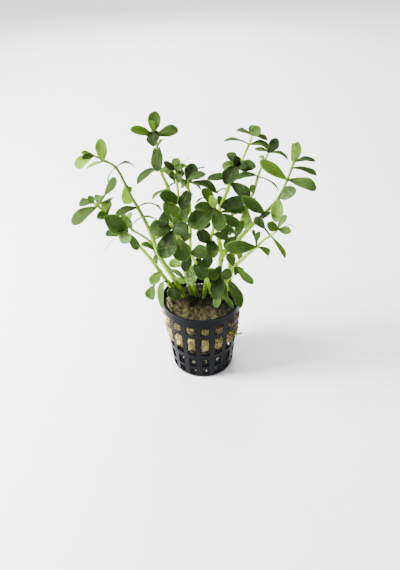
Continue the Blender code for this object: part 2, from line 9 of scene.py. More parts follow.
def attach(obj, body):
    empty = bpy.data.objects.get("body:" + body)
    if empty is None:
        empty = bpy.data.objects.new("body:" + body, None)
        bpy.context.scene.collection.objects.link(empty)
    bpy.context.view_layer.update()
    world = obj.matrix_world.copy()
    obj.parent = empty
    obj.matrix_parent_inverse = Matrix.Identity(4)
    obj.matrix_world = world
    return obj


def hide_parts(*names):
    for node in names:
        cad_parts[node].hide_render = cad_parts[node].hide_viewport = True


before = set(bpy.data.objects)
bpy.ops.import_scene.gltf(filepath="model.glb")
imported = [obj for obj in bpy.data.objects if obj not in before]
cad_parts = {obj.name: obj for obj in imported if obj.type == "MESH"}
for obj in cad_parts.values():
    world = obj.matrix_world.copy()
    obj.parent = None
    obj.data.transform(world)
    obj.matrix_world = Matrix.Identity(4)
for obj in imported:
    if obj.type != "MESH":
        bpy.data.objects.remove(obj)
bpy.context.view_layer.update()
mm = 0.001
root = "root"


# Node helpers: a value is either a plain value or the socket that feeds it.

def feed(tree, node, values):
    for name, value in values.items():
        if isinstance(value, bpy.types.NodeSocket):
            tree.links.new(value, node.inputs[name])
        else:
            node.inputs[name].default_value = value


def addNode(tree, kind, values=None, **settings):
    node = tree.nodes.new(kind)
    for name, value in settings.items():
        setattr(node, name, value)
    feed(tree, node, values or {})
    return node


def doMath(tree, operation, *values, clamp=False):
    kind = "ShaderNodeMath"
    return addNode(tree, kind, dict(enumerate(values)), operation=operation, use_clamp=clamp).outputs[0]


def inTurn(tree, operation, values):  # on the first two values, then on the result and the third
    total = values[0]
    for value in values[1:]:
        total = doMath(tree, operation, total, value)
    return total


def times(tree, *values):
    return inTurn(tree, "MULTIPLY", values)


def plus(tree, *values):
    return inTurn(tree, "ADD", values)


def minus(tree, first, second):
    return doMath(tree, "SUBTRACT", first, second)


def doVector(tree, operation, *values):
    node = addNode(tree, "ShaderNodeVectorMath", dict(enumerate(values)), operation=operation)
    return node.outputs["Value" if operation in ("LENGTH", "DOT_PRODUCT") else "Vector"]


def scaled(tree, vector, factor):
    values = {"Vector": vector, "Scale": factor}
    return addNode(tree, "ShaderNodeVectorMath", values, operation="SCALE").outputs[0]


def mapped(tree, value, fromLow, fromHigh, toLow=0.0, toHigh=1.0, smooth=True):
    span = {"Value": value, "From Min": fromLow, "From Max": fromHigh, "To Min": toLow, "To Max": toHigh}
    kind = "SMOOTHSTEP" if smooth else "LINEAR"
    return addNode(tree, "ShaderNodeMapRange", span, interpolation_type=kind).outputs["Result"]


def mixed(tree, factor, first, second):
    return addNode(tree, "ShaderNodeMix", {0: factor, 6: first, 7: second}, data_type="RGBA").outputs[2]


def ramped(tree, value, stops):  # stops are (place, colour)
    node = addNode(tree, "ShaderNodeValToRGB", {"Fac": value})
    ramp = node.color_ramp
    while len(ramp.elements) < len(stops):
        ramp.elements.new(0.5)
    for element, (place, colour) in zip(ramp.elements, stops):
        element.position = place
        element.color = colour
    return node.outputs["Color"]


def readNamed(tree, name, kind="FLOAT"):
    node = addNode(tree, "GeometryNodeInputNamedAttribute", {"Name": name}, data_type=kind)
    return node.outputs["Attribute"]


def storeNamed(tree, geometry, name, value):
    values = {"Geometry": geometry, "Name": name, "Value": value}
    return addNode(tree, "GeometryNodeStoreNamedAttribute", values, data_type="FLOAT").outputs[0]


def painted(tree, geometry, material):
    values = {"Geometry": geometry, "Material": material}
    return addNode(tree, "GeometryNodeSetMaterial", values).outputs[0]


def newTree(name, inputs):
    tree = bpy.data.node_groups.new(name, "GeometryNodeTree")
    tree.interface.new_socket("Geometry", in_out="INPUT", socket_type="NodeSocketGeometry")
    for label, kind in inputs:
        tree.interface.new_socket(label, in_out="INPUT", socket_type="NodeSocket" + kind)
    tree.interface.new_socket("Geometry", in_out="OUTPUT", socket_type="NodeSocketGeometry")
    return tree, tree.nodes.new("NodeGroupInput").outputs, tree.nodes.new("NodeGroupOutput").inputs


def finished(piece, nodes):
    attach(piece, root)
    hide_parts(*nodes)
    return piece


def addPiece(name, mesh, *materials):
    piece = bpy.data.objects.new(name, mesh)
    bpy.context.scene.collection.objects.link(piece)
    for material in materials:
        mesh.materials.append(material)
    return piece


def grown(piece, tree, inputs):  # runs a Geometry Nodes tree on a piece and keeps its result as a plain mesh
    modifier = piece.modifiers.new(tree.name, "NODES")
    modifier.node_group = tree
    for item in tree.interface.items_tree:
        if item.item_type == "SOCKET" and item.in_out == "INPUT" and item.name in inputs:
            modifier[item.identifier] = inputs[item.name]
    evaluated = piece.evaluated_get(bpy.context.evaluated_depsgraph_get())
    mesh = bpy.data.meshes.new_from_object(evaluated)
    piece.modifiers.remove(modifier)
    return mesh


def lofted(rings):  # a closed body through rings of the same number of points, its first and last ring filled
    shape = bmesh.new()
    rows = [[shape.verts.new(point) for point in ring] for ring in rings]
    for lower, upper in zip(rows, rows[1:]):
        for i in range(len(lower)):
            j = (i + 1) % len(lower)
            shape.faces.new((lower[i], lower[j], upper[j], upper[i]))
    shape.faces.new(reversed(rows[0]))
    shape.faces.new(rows[-1])
    bmesh.ops.recalc_face_normals(shape, faces=shape.faces)
    for face in shape.faces:
        face.smooth = True
    mesh = bpy.data.meshes.new("loft")
    shape.to_mesh(mesh)
    shape.free()
    return mesh


def newMaterial(name):
    material = bpy.data.materials.new(name)
    material.use_nodes = True
    tree = material.node_tree
    return material, tree, tree.nodes["Principled BSDF"]


def objectPoint(tree):
    return addNode(tree, "ShaderNodeTexCoord").outputs["Object"]


def noiseAt(tree, point, scale, detail=3.0, roughness=0.55):
    values = {"Vector": point, "Scale": scale, "Detail": detail, "Roughness": roughness}
    return addNode(tree, "ShaderNodeTexNoise", values).outputs["Fac"]


def bumped(tree, height, strength, distance):
    values = {"Height": height, "Strength": strength, "Distance": distance}
    return addNode(tree, "ShaderNodeBump", values).outputs["Normal"]


def attributeValue(tree, name):
    return addNode(tree, "ShaderNodeAttribute", attribute_name=name).outputs["Fac"]


# The net pot: one sector of its wall is drawn, with half a rib on each side of a column of
# windows, and the sector is repeated round the axis.

netPot = {
    "rimRadius": 25.0 * mm,
    "baseRadius": 19.5 * mm,
    "height": 51.0 * mm,
    "wall": 1.0 * mm,
    "collarHeight": 6.6 * mm,
    "lipHeight": 1.2 * mm,
    "lipStep": 0.6 * mm,
    "collarStep": 0.5 * mm,
    "baseRounding": 1.2 * mm,
    "roundingSteps": 3,
    "columns": 16,
    "firstColumn": math.radians(4.1),
    "rows": (  # of windows: low edge, high edge, half width
        (2.6, 7.4, 2.2), (9.6, 16.4, 2.25), (20.0, 34.9, 2.65), (38.0, 44.0, 2.75)),
    "edgeRounding": 0.28 * mm,
    "colour": (0.0014, 0.0019, 0.0036, 1),
    "worn": (0.0045, 0.0050, 0.0070, 1),
}


def wallRadius(height):
    top = netPot["rimRadius"] - netPot["lipStep"] - netPot["collarStep"]
    share = height / (netPot["height"] - netPot["collarHeight"])
    return netPot["baseRadius"] + (top - netPot["baseRadius"]) * min(max(share, 0), 1)


def potLevels():  # (height, radius, half width of the window, open above), from the floor's middle up
    pot = netPot
    first = pot["rows"][0][2] * mm
    last = pot["rows"][-1][2] * mm
    collar = pot["rimRadius"] - pot["lipStep"]
    underCollar = pot["height"] - pot["collarHeight"]
    levels = [(0, 0, first, False), (0, pot["baseRadius"] * 0.5, first * 0.6, False)]
    for step in range(pot["roundingSteps"] + 1):
        turn = step / pot["roundingSteps"] * math.pi / 2
        inwards = pot["baseRounding"] * (1 - math.sin(turn))
        levels.append((pot["baseRounding"] * (1 - math.cos(turn)), pot["baseRadius"] - inwards, first, False))
    for low, high, half in pot["rows"]:
        levels.append((low * mm, wallRadius(low * mm), half * mm, True))
        levels.append((high * mm, wallRadius(high * mm), half * mm, False))
    levels.append((underCollar, wallRadius(underCollar), last, False))
    levels.append((underCollar + 0.15 * mm, collar - 0.1 * mm, last, False))
    levels.append((pot["height"] - pot["lipHeight"] - 0.3 * mm, collar, last, False))
    levels.append((pot["height"] - pot["lipHeight"], pot["rimRadius"] - 0.1 * mm, last, False))
    levels.append((pot["height"], pot["rimRadius"], last, False))
    return levels


def makePotSector():
    shape = bmesh.new()
    halfSector = math.pi / netPot["columns"]
    rows = []
    levels = potLevels()
    for height, radius, half, isOpen in levels:
        edge = half / max(radius, half / halfSector * 1.4)
        turns = (-halfSector, -edge, -edge / 2, 0, edge / 2, edge, halfSector)
        row = []
        for turn in turns:
            angle = netPot["firstColumn"] - math.pi / 2 + turn
            row.append(shape.verts.new((radius * math.cos(angle), radius * math.sin(angle), height)))
        rows.append(row)
    for level, (lower, upper) in enumerate(zip(rows, rows[1:])):
        for i in range(6):
            if levels[level][3] and 0 < i < 5:
                continue
            shape.faces.new((lower[i], lower[i + 1], upper[i + 1], upper[i]))
    mesh = bpy.data.meshes.new("potSector")
    shape.to_mesh(mesh)
    shape.free()
    return mesh


def makeRepeatTree():
    inputs = (("Count", "Int"), ("Merge", "Float"), ("Material", "Material"))
    tree, given, result = newTree("repeatRound", inputs)
    places = addNode(tree, "GeometryNodeMeshLine", {"Count": given["Count"], "Offset": (0, 0, 0)})
    step = doMath(tree, "DIVIDE", math.tau, given["Count"])
    index = addNode(tree, "GeometryNodeInputIndex").outputs[0]
    turn = addNode(tree, "ShaderNodeCombineXYZ", {"Z": times(tree, index, step)}).outputs[0]
    copies = addNode(tree, "GeometryNodeInstanceOnPoints", {
        "Points": places.outputs["Mesh"], "Instance": given["Geometry"], "Rotation": turn}).outputs[0]
    solid = addNode(tree, "GeometryNodeRealizeInstances", {"Geometry": copies}).outputs[0]
    joined = addNode(tree, "GeometryNodeMergeByDistance", {"Geometry": solid, "Distance": given["Merge"]})
    tree.links.new(painted(tree, joined.outputs[0], given["Material"]), result[0])
    return tree


def makePotMaterial():  # black moulded plastic, greyer and duller where it is handled, with fine grain
    material, tree, shader = newMaterial("blackPlastic")
    point = objectPoint(tree)
    scuffs = mapped(tree, noiseAt(tree, point, 260.0, 4.0), 0.5, 0.75)
    height = addNode(tree, "ShaderNodeSeparateXYZ", {"Vector": point}).outputs["Z"]
    damp = mapped(tree, height, 0.045, 0.012)
    dull = plus(tree, times(tree, scuffs, 0.18), 0.36)
    feed(tree, shader, {
        "Base Color": mixed(tree, times(tree, scuffs, 0.5), netPot["colour"], netPot["worn"]),
        "Roughness": minus(tree, dull, times(tree, damp, 0.06)),
        "Specular IOR Level": 0.05,
        "Normal": bumped(tree, noiseAt(tree, point, 1900.0, 2.0), 0.25, 0.00005)})
    return material


def makeNetPot():
    material = makePotMaterial()
    sector = addPiece("potSector", makePotSector())
    mesh = grown(sector, makeRepeatTree(), {
        "Count": netPot["columns"], "Merge": 0.01 * mm, "Material": material})
    bpy.data.objects.remove(sector)
    pot = addPiece("netPot", mesh)
    shape = bmesh.new()
    shape.from_mesh(mesh)
    bmesh.ops.recalc_face_normals(shape, faces=shape.faces)
    for face in shape.faces:
        face.smooth = True
    shape.to_mesh(mesh)
    shape.free()
    wall = pot.modifiers.new("wall", "SOLIDIFY")
    wall.thickness = netPot["wall"]
    wall.offset = -1
    wall.use_even_offset = True
    edges = pot.modifiers.new("edges", "BEVEL")
    edges.width = netPot["edgeRounding"]
    edges.segments = 2
    edges.limit_method = "ANGLE"
    edges.angle_limit = math.radians(40)
    edges.harden_normals = True
    return finished(pot, ["net_pot"])


# The rockwool: a lumpy plug that bulges through the windows, covered with loose fibres.

rockwool = {
    "top": 47.3 * mm,
    "backTop": 45.0 * mm,  # it is pressed lower at the back of the pot
    "standsUp": 2.2 * mm,  # against the left wall
    "bottom": 24.0 * mm,
    "gap": 0.12 * mm,
    "bulge": 1.75 * mm,
    "lumps": 0.75 * mm,
    "around": 192,
    "up": 44,
    "inwards": 26,
    "fibres": 5200,
    "fibreLength": 3.2 * mm,
    "fibreRadius": 0.045 * mm,
    "cream": (0.68, 0.56, 0.18, 1),  # the side that the light reaches
    "pale": (0.36, 0.285, 0.085, 1),
    "tan": (0.115, 0.090, 0.030, 1),
    "dark": (0.035, 0.027, 0.008, 1),
    "shaded": (0.050, 0.043, 0.018, 1),
    "damp": (0.010, 0.010, 0.005, 1),  # the damp top, darker still as painted shade of the leaves over it
    # the damp top's front, painted as lit where the leaves' shade ends
    "dampLit": (0.088, 0.074, 0.030, 1),
    "creamPatch": (0.22, 0.20, 0.10, 1),  # where it stands up against the pot's left wall
    "litSide": (-0.45, -0.9, 0.0),  # the side of the top that is painted as lit, out of the leaves' shade
    "crumbs": (  # bits behind the low windows: column, height, half sizes, tilt, pale or not
        (-1, 12.2, (1.2, 0.5, 1.4), 20, 0), (-0.95, 13.0, (0.4, 0.4, 0.4), 0, 0),
        (0.1, 12.6, (0.35, 0.4, 1.7), 12, 0), (0, 13.9, (0.9, 0.4, 0.3), 25, 0),
        (1.12, 13.2, (1.3, 0.5, 0.4), -18, 1), (1.05, 12.0, (1.0, 0.4, 0.5), 10, 0),
        (1, 18.6, (1.2, 0.4, 0.6), -25, 0), (-0.9, 4.4, (0.9, 0.4, 0.5), -35, 0),
        (-0.85, 4.2, (0.4, 0.4, 0.3), 0, 1), (0.1, 4.3, (0.55, 0.5, 0.5), 30, 1),
        (-0.1, 5.0, (0.7, 0.4, 0.35), -15, 0), (1, 5.0, (0.5, 0.4, 0.5), 0, 0),
        (-2, 13.0, (0.6, 0.4, 0.9), 15, 0), (2, 13.2, (0.7, 0.4, 0.7), -20, 0)),
    "crumbDepth": 1.9 * mm,
    "crumbGrain": 0.55 * mm,
    "crumbRough": 0.32,  # in millimetres
    "crumbColours": ((0.105, 0.108, 0.082, 1), (0.50, 0.52, 0.42, 1)),
    "rootTip": ((18.0, 23.9), (20.6, 24.5), (22.4, 24.9), (24.0, 25.3), (25.6, 25.7)),  # (across, up)
    "rootTipHalf": 0.85 * mm,
    "rootTipBack": -6.8 * mm,
    "rootTipColour": (0.19, 0.27, 0.04, 1),
    "seed": 7,
}


def ramp(value, low, high):
    share = min(max((value - low) / (high - low), 0.0), 1.0)
    return share * share * (3 - 2 * share)


def windowShare(angle, height):  # 1 in the middle of a window that the rockwool fills, 0 on the ribs
    step = math.tau / netPot["columns"]
    offset = (angle + math.pi / 2 - netPot["firstColumn"] + step / 2) % step - step / 2
    share = 0.0
    for low, high, half in netPot["rows"][2:]:
        across = abs(offset) * wallRadius(height) / (half * mm - 0.2 * mm)
        upwards = min(height - (low * mm + 0.2 * mm), high * mm - 0.2 * mm - height) / (0.9 * mm)
        share = max(share, (1 - ramp(across, 0.78, 1.05)) * ramp(upwards, 0.0, 1.0))
    return share


def lumpAt(point, scale, seed):
    return noise.fractal(Vector(point) * scale + Vector((seed, seed, seed)), 0.9, 2.1, 4)


def woolTop(x, y):
    lean = ramp(y, -0.004, 0.021)
    level = rockwool["top"] + (rockwool["backTop"] - rockwool["top"]) * lean
    level += rockwool["standsUp"] * ramp(-x, 0.0165, 0.0215) * ramp(-y, -0.012, -0.002)
    return level + lumpAt((x, y, 0), 300, 3) * 2.1 * mm + lumpAt((x, y, 0), 950, 5) * 0.6 * mm


def makeWoolMesh():
    wool = rockwool
    rings = []
    turns = [math.tau * i / wool["around"] for i in range(wool["around"])]
    for row in range(1, wool["inwards"]):
        share = row / wool["inwards"]
        ring = []
        for turn in turns:
            radius = (wallRadius(wool["bottom"]) - netPot["wall"] - 1.2 * mm) * share
            x = radius * math.cos(turn)
            y = radius * math.sin(turn)
            level = wool["bottom"] + (0.6 + 1.6 * (1 - share)) * mm
            ring.append((x, y, level + lumpAt((x, y, 9), 420, 1) * 0.9 * mm))
        rings.append(ring)
    for row in range(wool["up"] + 1):
        share = row / wool["up"]
        ring = []
        for turn in turns:
            outside = wallRadius(wool["top"]) - netPot["wall"]
            top = woolTop(outside * math.cos(turn), outside * math.sin(turn)) - 0.5 * mm
            ragged = lumpAt((math.cos(turn), math.sin(turn), 0), 3.2, 2) * 1.5 * mm
            height = wool["bottom"] + ragged + (top - wool["bottom"] - ragged) * share
            inside = wallRadius(height) - netPot["wall"] - wool["gap"]
            rounded = 1.6 * mm * (ramp(share, 0.08, 0.0) + 0.6 * ramp(share, 0.95, 1.0))
            push = windowShare(turn, height)
            lump = lumpAt((inside * math.cos(turn), inside * math.sin(turn), height), 520, 4)
            fine = lumpAt((inside * math.cos(turn), inside * math.sin(turn), height), 1500, 6)
            bulge = (wool["bulge"] + netPot["wall"] * 0.6) * push * (0.8 + 0.5 * lump)
            loss = wool["lumps"] * max(0.0, 0.35 - lump) * (1 - push)
            radius = inside - rounded - loss + bulge + fine * 0.28 * mm * push
            ring.append((radius * math.cos(turn), radius * math.sin(turn), height))
        rings.append(ring)
    for row in range(wool["inwards"] - 1, 0, -1):
        share = row / wool["inwards"]
        ring = []
        for turn in turns:
            radius = (wallRadius(wool["top"]) - netPot["wall"] - wool["gap"] - 0.9 * mm) * share
            x = radius * math.cos(turn)
            y = radius * math.sin(turn)
            ring.append((x, y, woolTop(x, y)))
        rings.append(ring)
    return lofted(rings)


def wettedAndShaded(tree, point, colour):  # the top is damp and darker still as painted leaf shade, with painted light at its front; under the collar the wool has painted shade
    spot = addNode(tree, "ShaderNodeSeparateXYZ", {"Vector": point}).outputs
    shade = times(tree, mapped(tree, spot["Z"], 0.0345, 0.038, 0.0, 0.72),
                  mapped(tree, spot["X"], -0.0215, -0.0165))
    colour = mixed(tree, shade, colour, rockwool["shaded"])
    tufts = mapped(tree, noiseAt(tree, point, 190.0, 4.0, 0.6), 0.34, 0.60)
    # painted light: the front of the top is paler and shows tufts, the rest keeps the painted leaf shade
    litFront = mapped(tree, doVector(tree, "DOT_PRODUCT", point, rockwool["litSide"]), -0.001, 0.012)
    wetAndShadedTop = mixed(tree, times(tree, tufts, litFront), rockwool["damp"], rockwool["dampLit"])
    beside = times(tree, mapped(tree, spot["X"], -0.0175, -0.0205), mapped(tree, spot["Y"], 0.010, 0.002))
    wetAndShadedTop = mixed(tree, beside, wetAndShadedTop, rockwool["creamPatch"])
    return mixed(tree, mapped(tree, spot["Z"], 0.0435, 0.0455), colour, wetAndShadedTop)


def makeWoolMaterial():  # tan mineral wool: pale chips and tufts over darker hollows, their darkness painted shade
    material, tree, shader = newMaterial("mineralWool")
    point = objectPoint(tree)
    patches = mapped(tree, noiseAt(tree, point, 210.0, 4.0, 0.6), 0.38, 0.68)
    chips = mapped(tree, noiseAt(tree, point, 700.0, 3.0, 0.6), 0.36, 0.60)
    streaks = noiseAt(tree, doVector(tree, "MULTIPLY", point, (1.0, 1.0, 3.5)), 1500.0, 2.0, 0.5)
    # painted light: the wool turns paler and creamier on the side and left edge that the light reaches
    sunny = mapped(tree, doVector(tree, "DOT_PRODUCT", point, (-1.0, -0.35, 0.0)), 0.006, 0.022)
    pale = mixed(tree, sunny, rockwool["pale"], rockwool["cream"])
    spot = addNode(tree, "ShaderNodeSeparateXYZ", {"Vector": point}).outputs
    litLeftEdge = mapped(tree, spot["X"], -0.0185, -0.0215, 0.0, 0.55)
    litShare = plus(tree, times(tree, sunny, 0.25), litLeftEdge)
    tan = mixed(tree, litShare, rockwool["tan"], rockwool["cream"])
    colour = mixed(tree, patches, tan, pale)
    colour = mixed(tree, mapped(tree, chips, 0.45, 0.0), colour, rockwool["dark"])
    feed(tree, shader, {
        "Base Color": wettedAndShaded(tree, point, colour), "Roughness": 0.95, "Specular IOR Level": 0.2,
        "Normal": bumped(tree, plus(tree, times(tree, chips, 0.7), streaks), 0.9, 0.0006)})
    return material


def makeFibreMaterial():
    material, tree, shader = newMaterial("woolFibre")
    point = objectPoint(tree)
    patches = mapped(tree, noiseAt(tree, point, 330.0, 2.0), 0.35, 0.7)
    colour = mixed(tree, patches, rockwool["tan"], rockwool["pale"])
    feed(tree, shader, {
        "Base Color": wettedAndShaded(tree, point, colour), "Roughness": 0.6, "Specular IOR Level": 0.2})
    return material


def makeFibreTree():
    tree, given, result = newTree("looseFibres", (
        ("Fibres", "Int"), ("Length", "Float"), ("Radius", "Float"), ("Seed", "Int"),
        ("Material", "Material")))
    area = addNode(tree, "GeometryNodeAttributeStatistic", {
        "Geometry": given["Geometry"], 2: addNode(tree, "GeometryNodeInputMeshFaceArea").outputs[0]},
        domain="FACE").outputs["Sum"]
    spots = addNode(tree, "GeometryNodeDistributePointsOnFaces", {
        "Mesh": given["Geometry"], "Density": doMath(tree, "DIVIDE", given["Fibres"], area),
        "Seed": given["Seed"]})
    line = addNode(tree, "GeometryNodeCurvePrimitiveLine", {"End": (1, 0, 0)}).outputs[0]
    strand = addNode(tree, "GeometryNodeResampleCurve", {"Curve": line, "Count": 6}).outputs[0]
    fibres = addNode(tree, "GeometryNodeInstanceOnPoints", {
        "Points": spots.outputs["Points"], "Instance": strand, "Rotation": spots.outputs["Rotation"],
        "Scale": given["Length"]}).outputs[0]
    turn = addNode(tree, "FunctionNodeRandomValue", {
        "Min": (0, -0.35, 0), "Max": (0, 0.1, math.tau), "Seed": given["Seed"]},
        data_type="FLOAT_VECTOR").outputs[0]
    fibres = addNode(tree, "GeometryNodeRotateInstances", {"Instances": fibres, "Rotation": turn}).outputs[0]
    loose = addNode(tree, "GeometryNodeRealizeInstances", {"Geometry": fibres}).outputs[0]
    here = addNode(tree, "GeometryNodeInputPosition").outputs[0]
    drift = addNode(tree, "ShaderNodeTexNoise", {"Vector": here, "Scale": 420.0, "Detail": 1.0})
    bend = scaled(tree, doVector(tree, "SUBTRACT", drift.outputs["Color"], (0.5, 0.5, 0.5)),
                  times(tree, given["Length"], 0.6))
    bent = addNode(tree, "GeometryNodeSetPosition", {"Geometry": loose, "Offset": bend}).outputs[0]
    section = addNode(tree, "GeometryNodeCurvePrimitiveCircle", {
        "Resolution": 3, "Radius": given["Radius"]}).outputs[0]
    tubes = addNode(tree, "GeometryNodeCurveToMesh", {
        "Curve": bent, "Profile Curve": section, "Fill Caps": True}).outputs[0]
    tree.links.new(painted(tree, tubes, given["Material"]), result[0])
    return tree


def makeRockwool():
    wool = rockwool
    plug = addPiece("rockwoolPlug", makeWoolMesh(), makeWoolMaterial())
    mesh = grown(plug, makeFibreTree(), {
        "Fibres": wool["fibres"], "Length": wool["fibreLength"], "Radius": wool["fibreRadius"],
        "Seed": wool["seed"], "Material": makeFibreMaterial()})
    keepInPot(mesh)
    addCrumbs(mesh, wool)
    fibres = addPiece("rockwoolFibres", mesh)
    finished(plug, ["rockwool_plug"])
    finished(fibres, ["rockwool_plug"])


def plainMaterial(name, colour):
    material, tree, shader = newMaterial(name)
    feed(tree, shader, {"Base Color": colour, "Roughness": 0.7})
    return material


def addCrumbs(mesh, wool):  # bits behind the low windows, and a root tip that pokes out at the right
    colours = (*wool["crumbColours"], wool["rootTipColour"])
    for label, colour in zip(("darkCrumb", "paleCrumb", "rootTip"), colours):
        mesh.materials.append(plainMaterial(label, colour))
    shape = bmesh.new()
    shape.from_mesh(mesh)
    noise.seed_set(wool["seed"])  # noise vectors are drawn by the clock where no seed is set
    for column, height, sizes, tilt, pale in wool["crumbs"]:
        turn = netPot["firstColumn"] + column * math.tau / netPot["columns"]
        inside = wallRadius(height * mm) - wool["crumbDepth"]
        place = Matrix.Translation((inside * math.sin(turn), -inside * math.cos(turn), height * mm))
        lean = Matrix.Rotation(turn, 4, "Z") @ Matrix.Rotation(math.radians(tilt), 4, "Y")
        stretch = Matrix.Diagonal((*(size * mm for size in sizes), 1))
        crumb = bmesh.ops.create_icosphere(shape, subdivisions=2, radius=1, matrix=place @ lean @ stretch)
        for vertex in crumb["verts"]:
            vertex.co += noise.noise_vector(vertex.co / wool["crumbGrain"]) * wool["crumbRough"] * mm
            for face in vertex.link_faces:
                face.material_index = 1 + pale
    rings = []
    for i, (x, z) in enumerate(wool["rootTip"]):
        size = wool["rootTipHalf"] * (1 - (i / len(wool["rootTip"])) ** 4)
        spots = ((0, -size * 0.5), (-size, 0), (0, size * 0.5), (size, 0))
        rings.append([shape.verts.new((x * mm, wool["rootTipBack"] + y, z * mm + up)) for up, y in spots])
    walls = [(lower[i - 1], lower[i], upper[i], upper[i - 1])
             for lower, upper in zip(rings, rings[1:]) for i in range(len(lower))]
    for corners in (*walls, reversed(rings[0]), rings[-1]):
        shape.faces.new(corners).material_index = 3
    shape.to_mesh(mesh)
    shape.free()


def keepInPot(mesh):  # fibres that a random turn would push through the wall are drawn back inside it
    for vertex in mesh.vertices:
        x, y, z = vertex.co
        radius = math.hypot(x, y)
        share = windowShare(math.atan2(y, x), z)
        limit = wallRadius(z) - netPot["wall"] - 0.1 * mm + (netPot["wall"] + 1.4 * mm) * share
        if z < netPot["height"] and radius > limit:
            vertex.co.x = x * limit / radius
            vertex.co.y = y * limit / radius
        vertex.co.z = min(vertex.co.z, rockwool["top"] + 1.6 * mm)


# The shoots. A place is (across, up, back) in millimetres: across and up are read on the upright
# plane through the pot's axis as the eye sees it, and back is how far behind that plane it lies.
# A leaf is (place along the stem, its tip's place, width, arch, turn, stalk): the place counts the
# points of the stem's route, arch is the rise of the midrib over its length, and turn is the angle
# in degrees between the upper face and the eye's line of sight. Stalk is the share of the length
# without a blade, or below zero for a blade that starts broad, and 0 where it isn't given. Glow
# sets each leaf's colour from dark to bright: partly its own, young thin leaves being paler, and
# partly painted light and shade, from 0 for a thick leaf in painted shade to 1 for a young one
# painted as lit through from behind. A stem's glow, painted the same way, is given at its foot,
# its middle and its tip.

shootForm = {
    "eye": Vector((0.0, -318.0, 288.0)) * mm,
    "depthSpread": 1.8,
    "rooted": 7.0 * mm,
    "samples": 7,  # points of the stem for each point of its route
    "sides": 12,
    "knot": 0.28,  # how much a stem swells where leaves grow
    "leafSides": 16,
    "leafRings": 18,
    "leafThickness": 0.62 * mm,
    "stalkWidth": 1.15 * mm,
    "sunk": 0.35 * mm,
    "seed": 11,
}

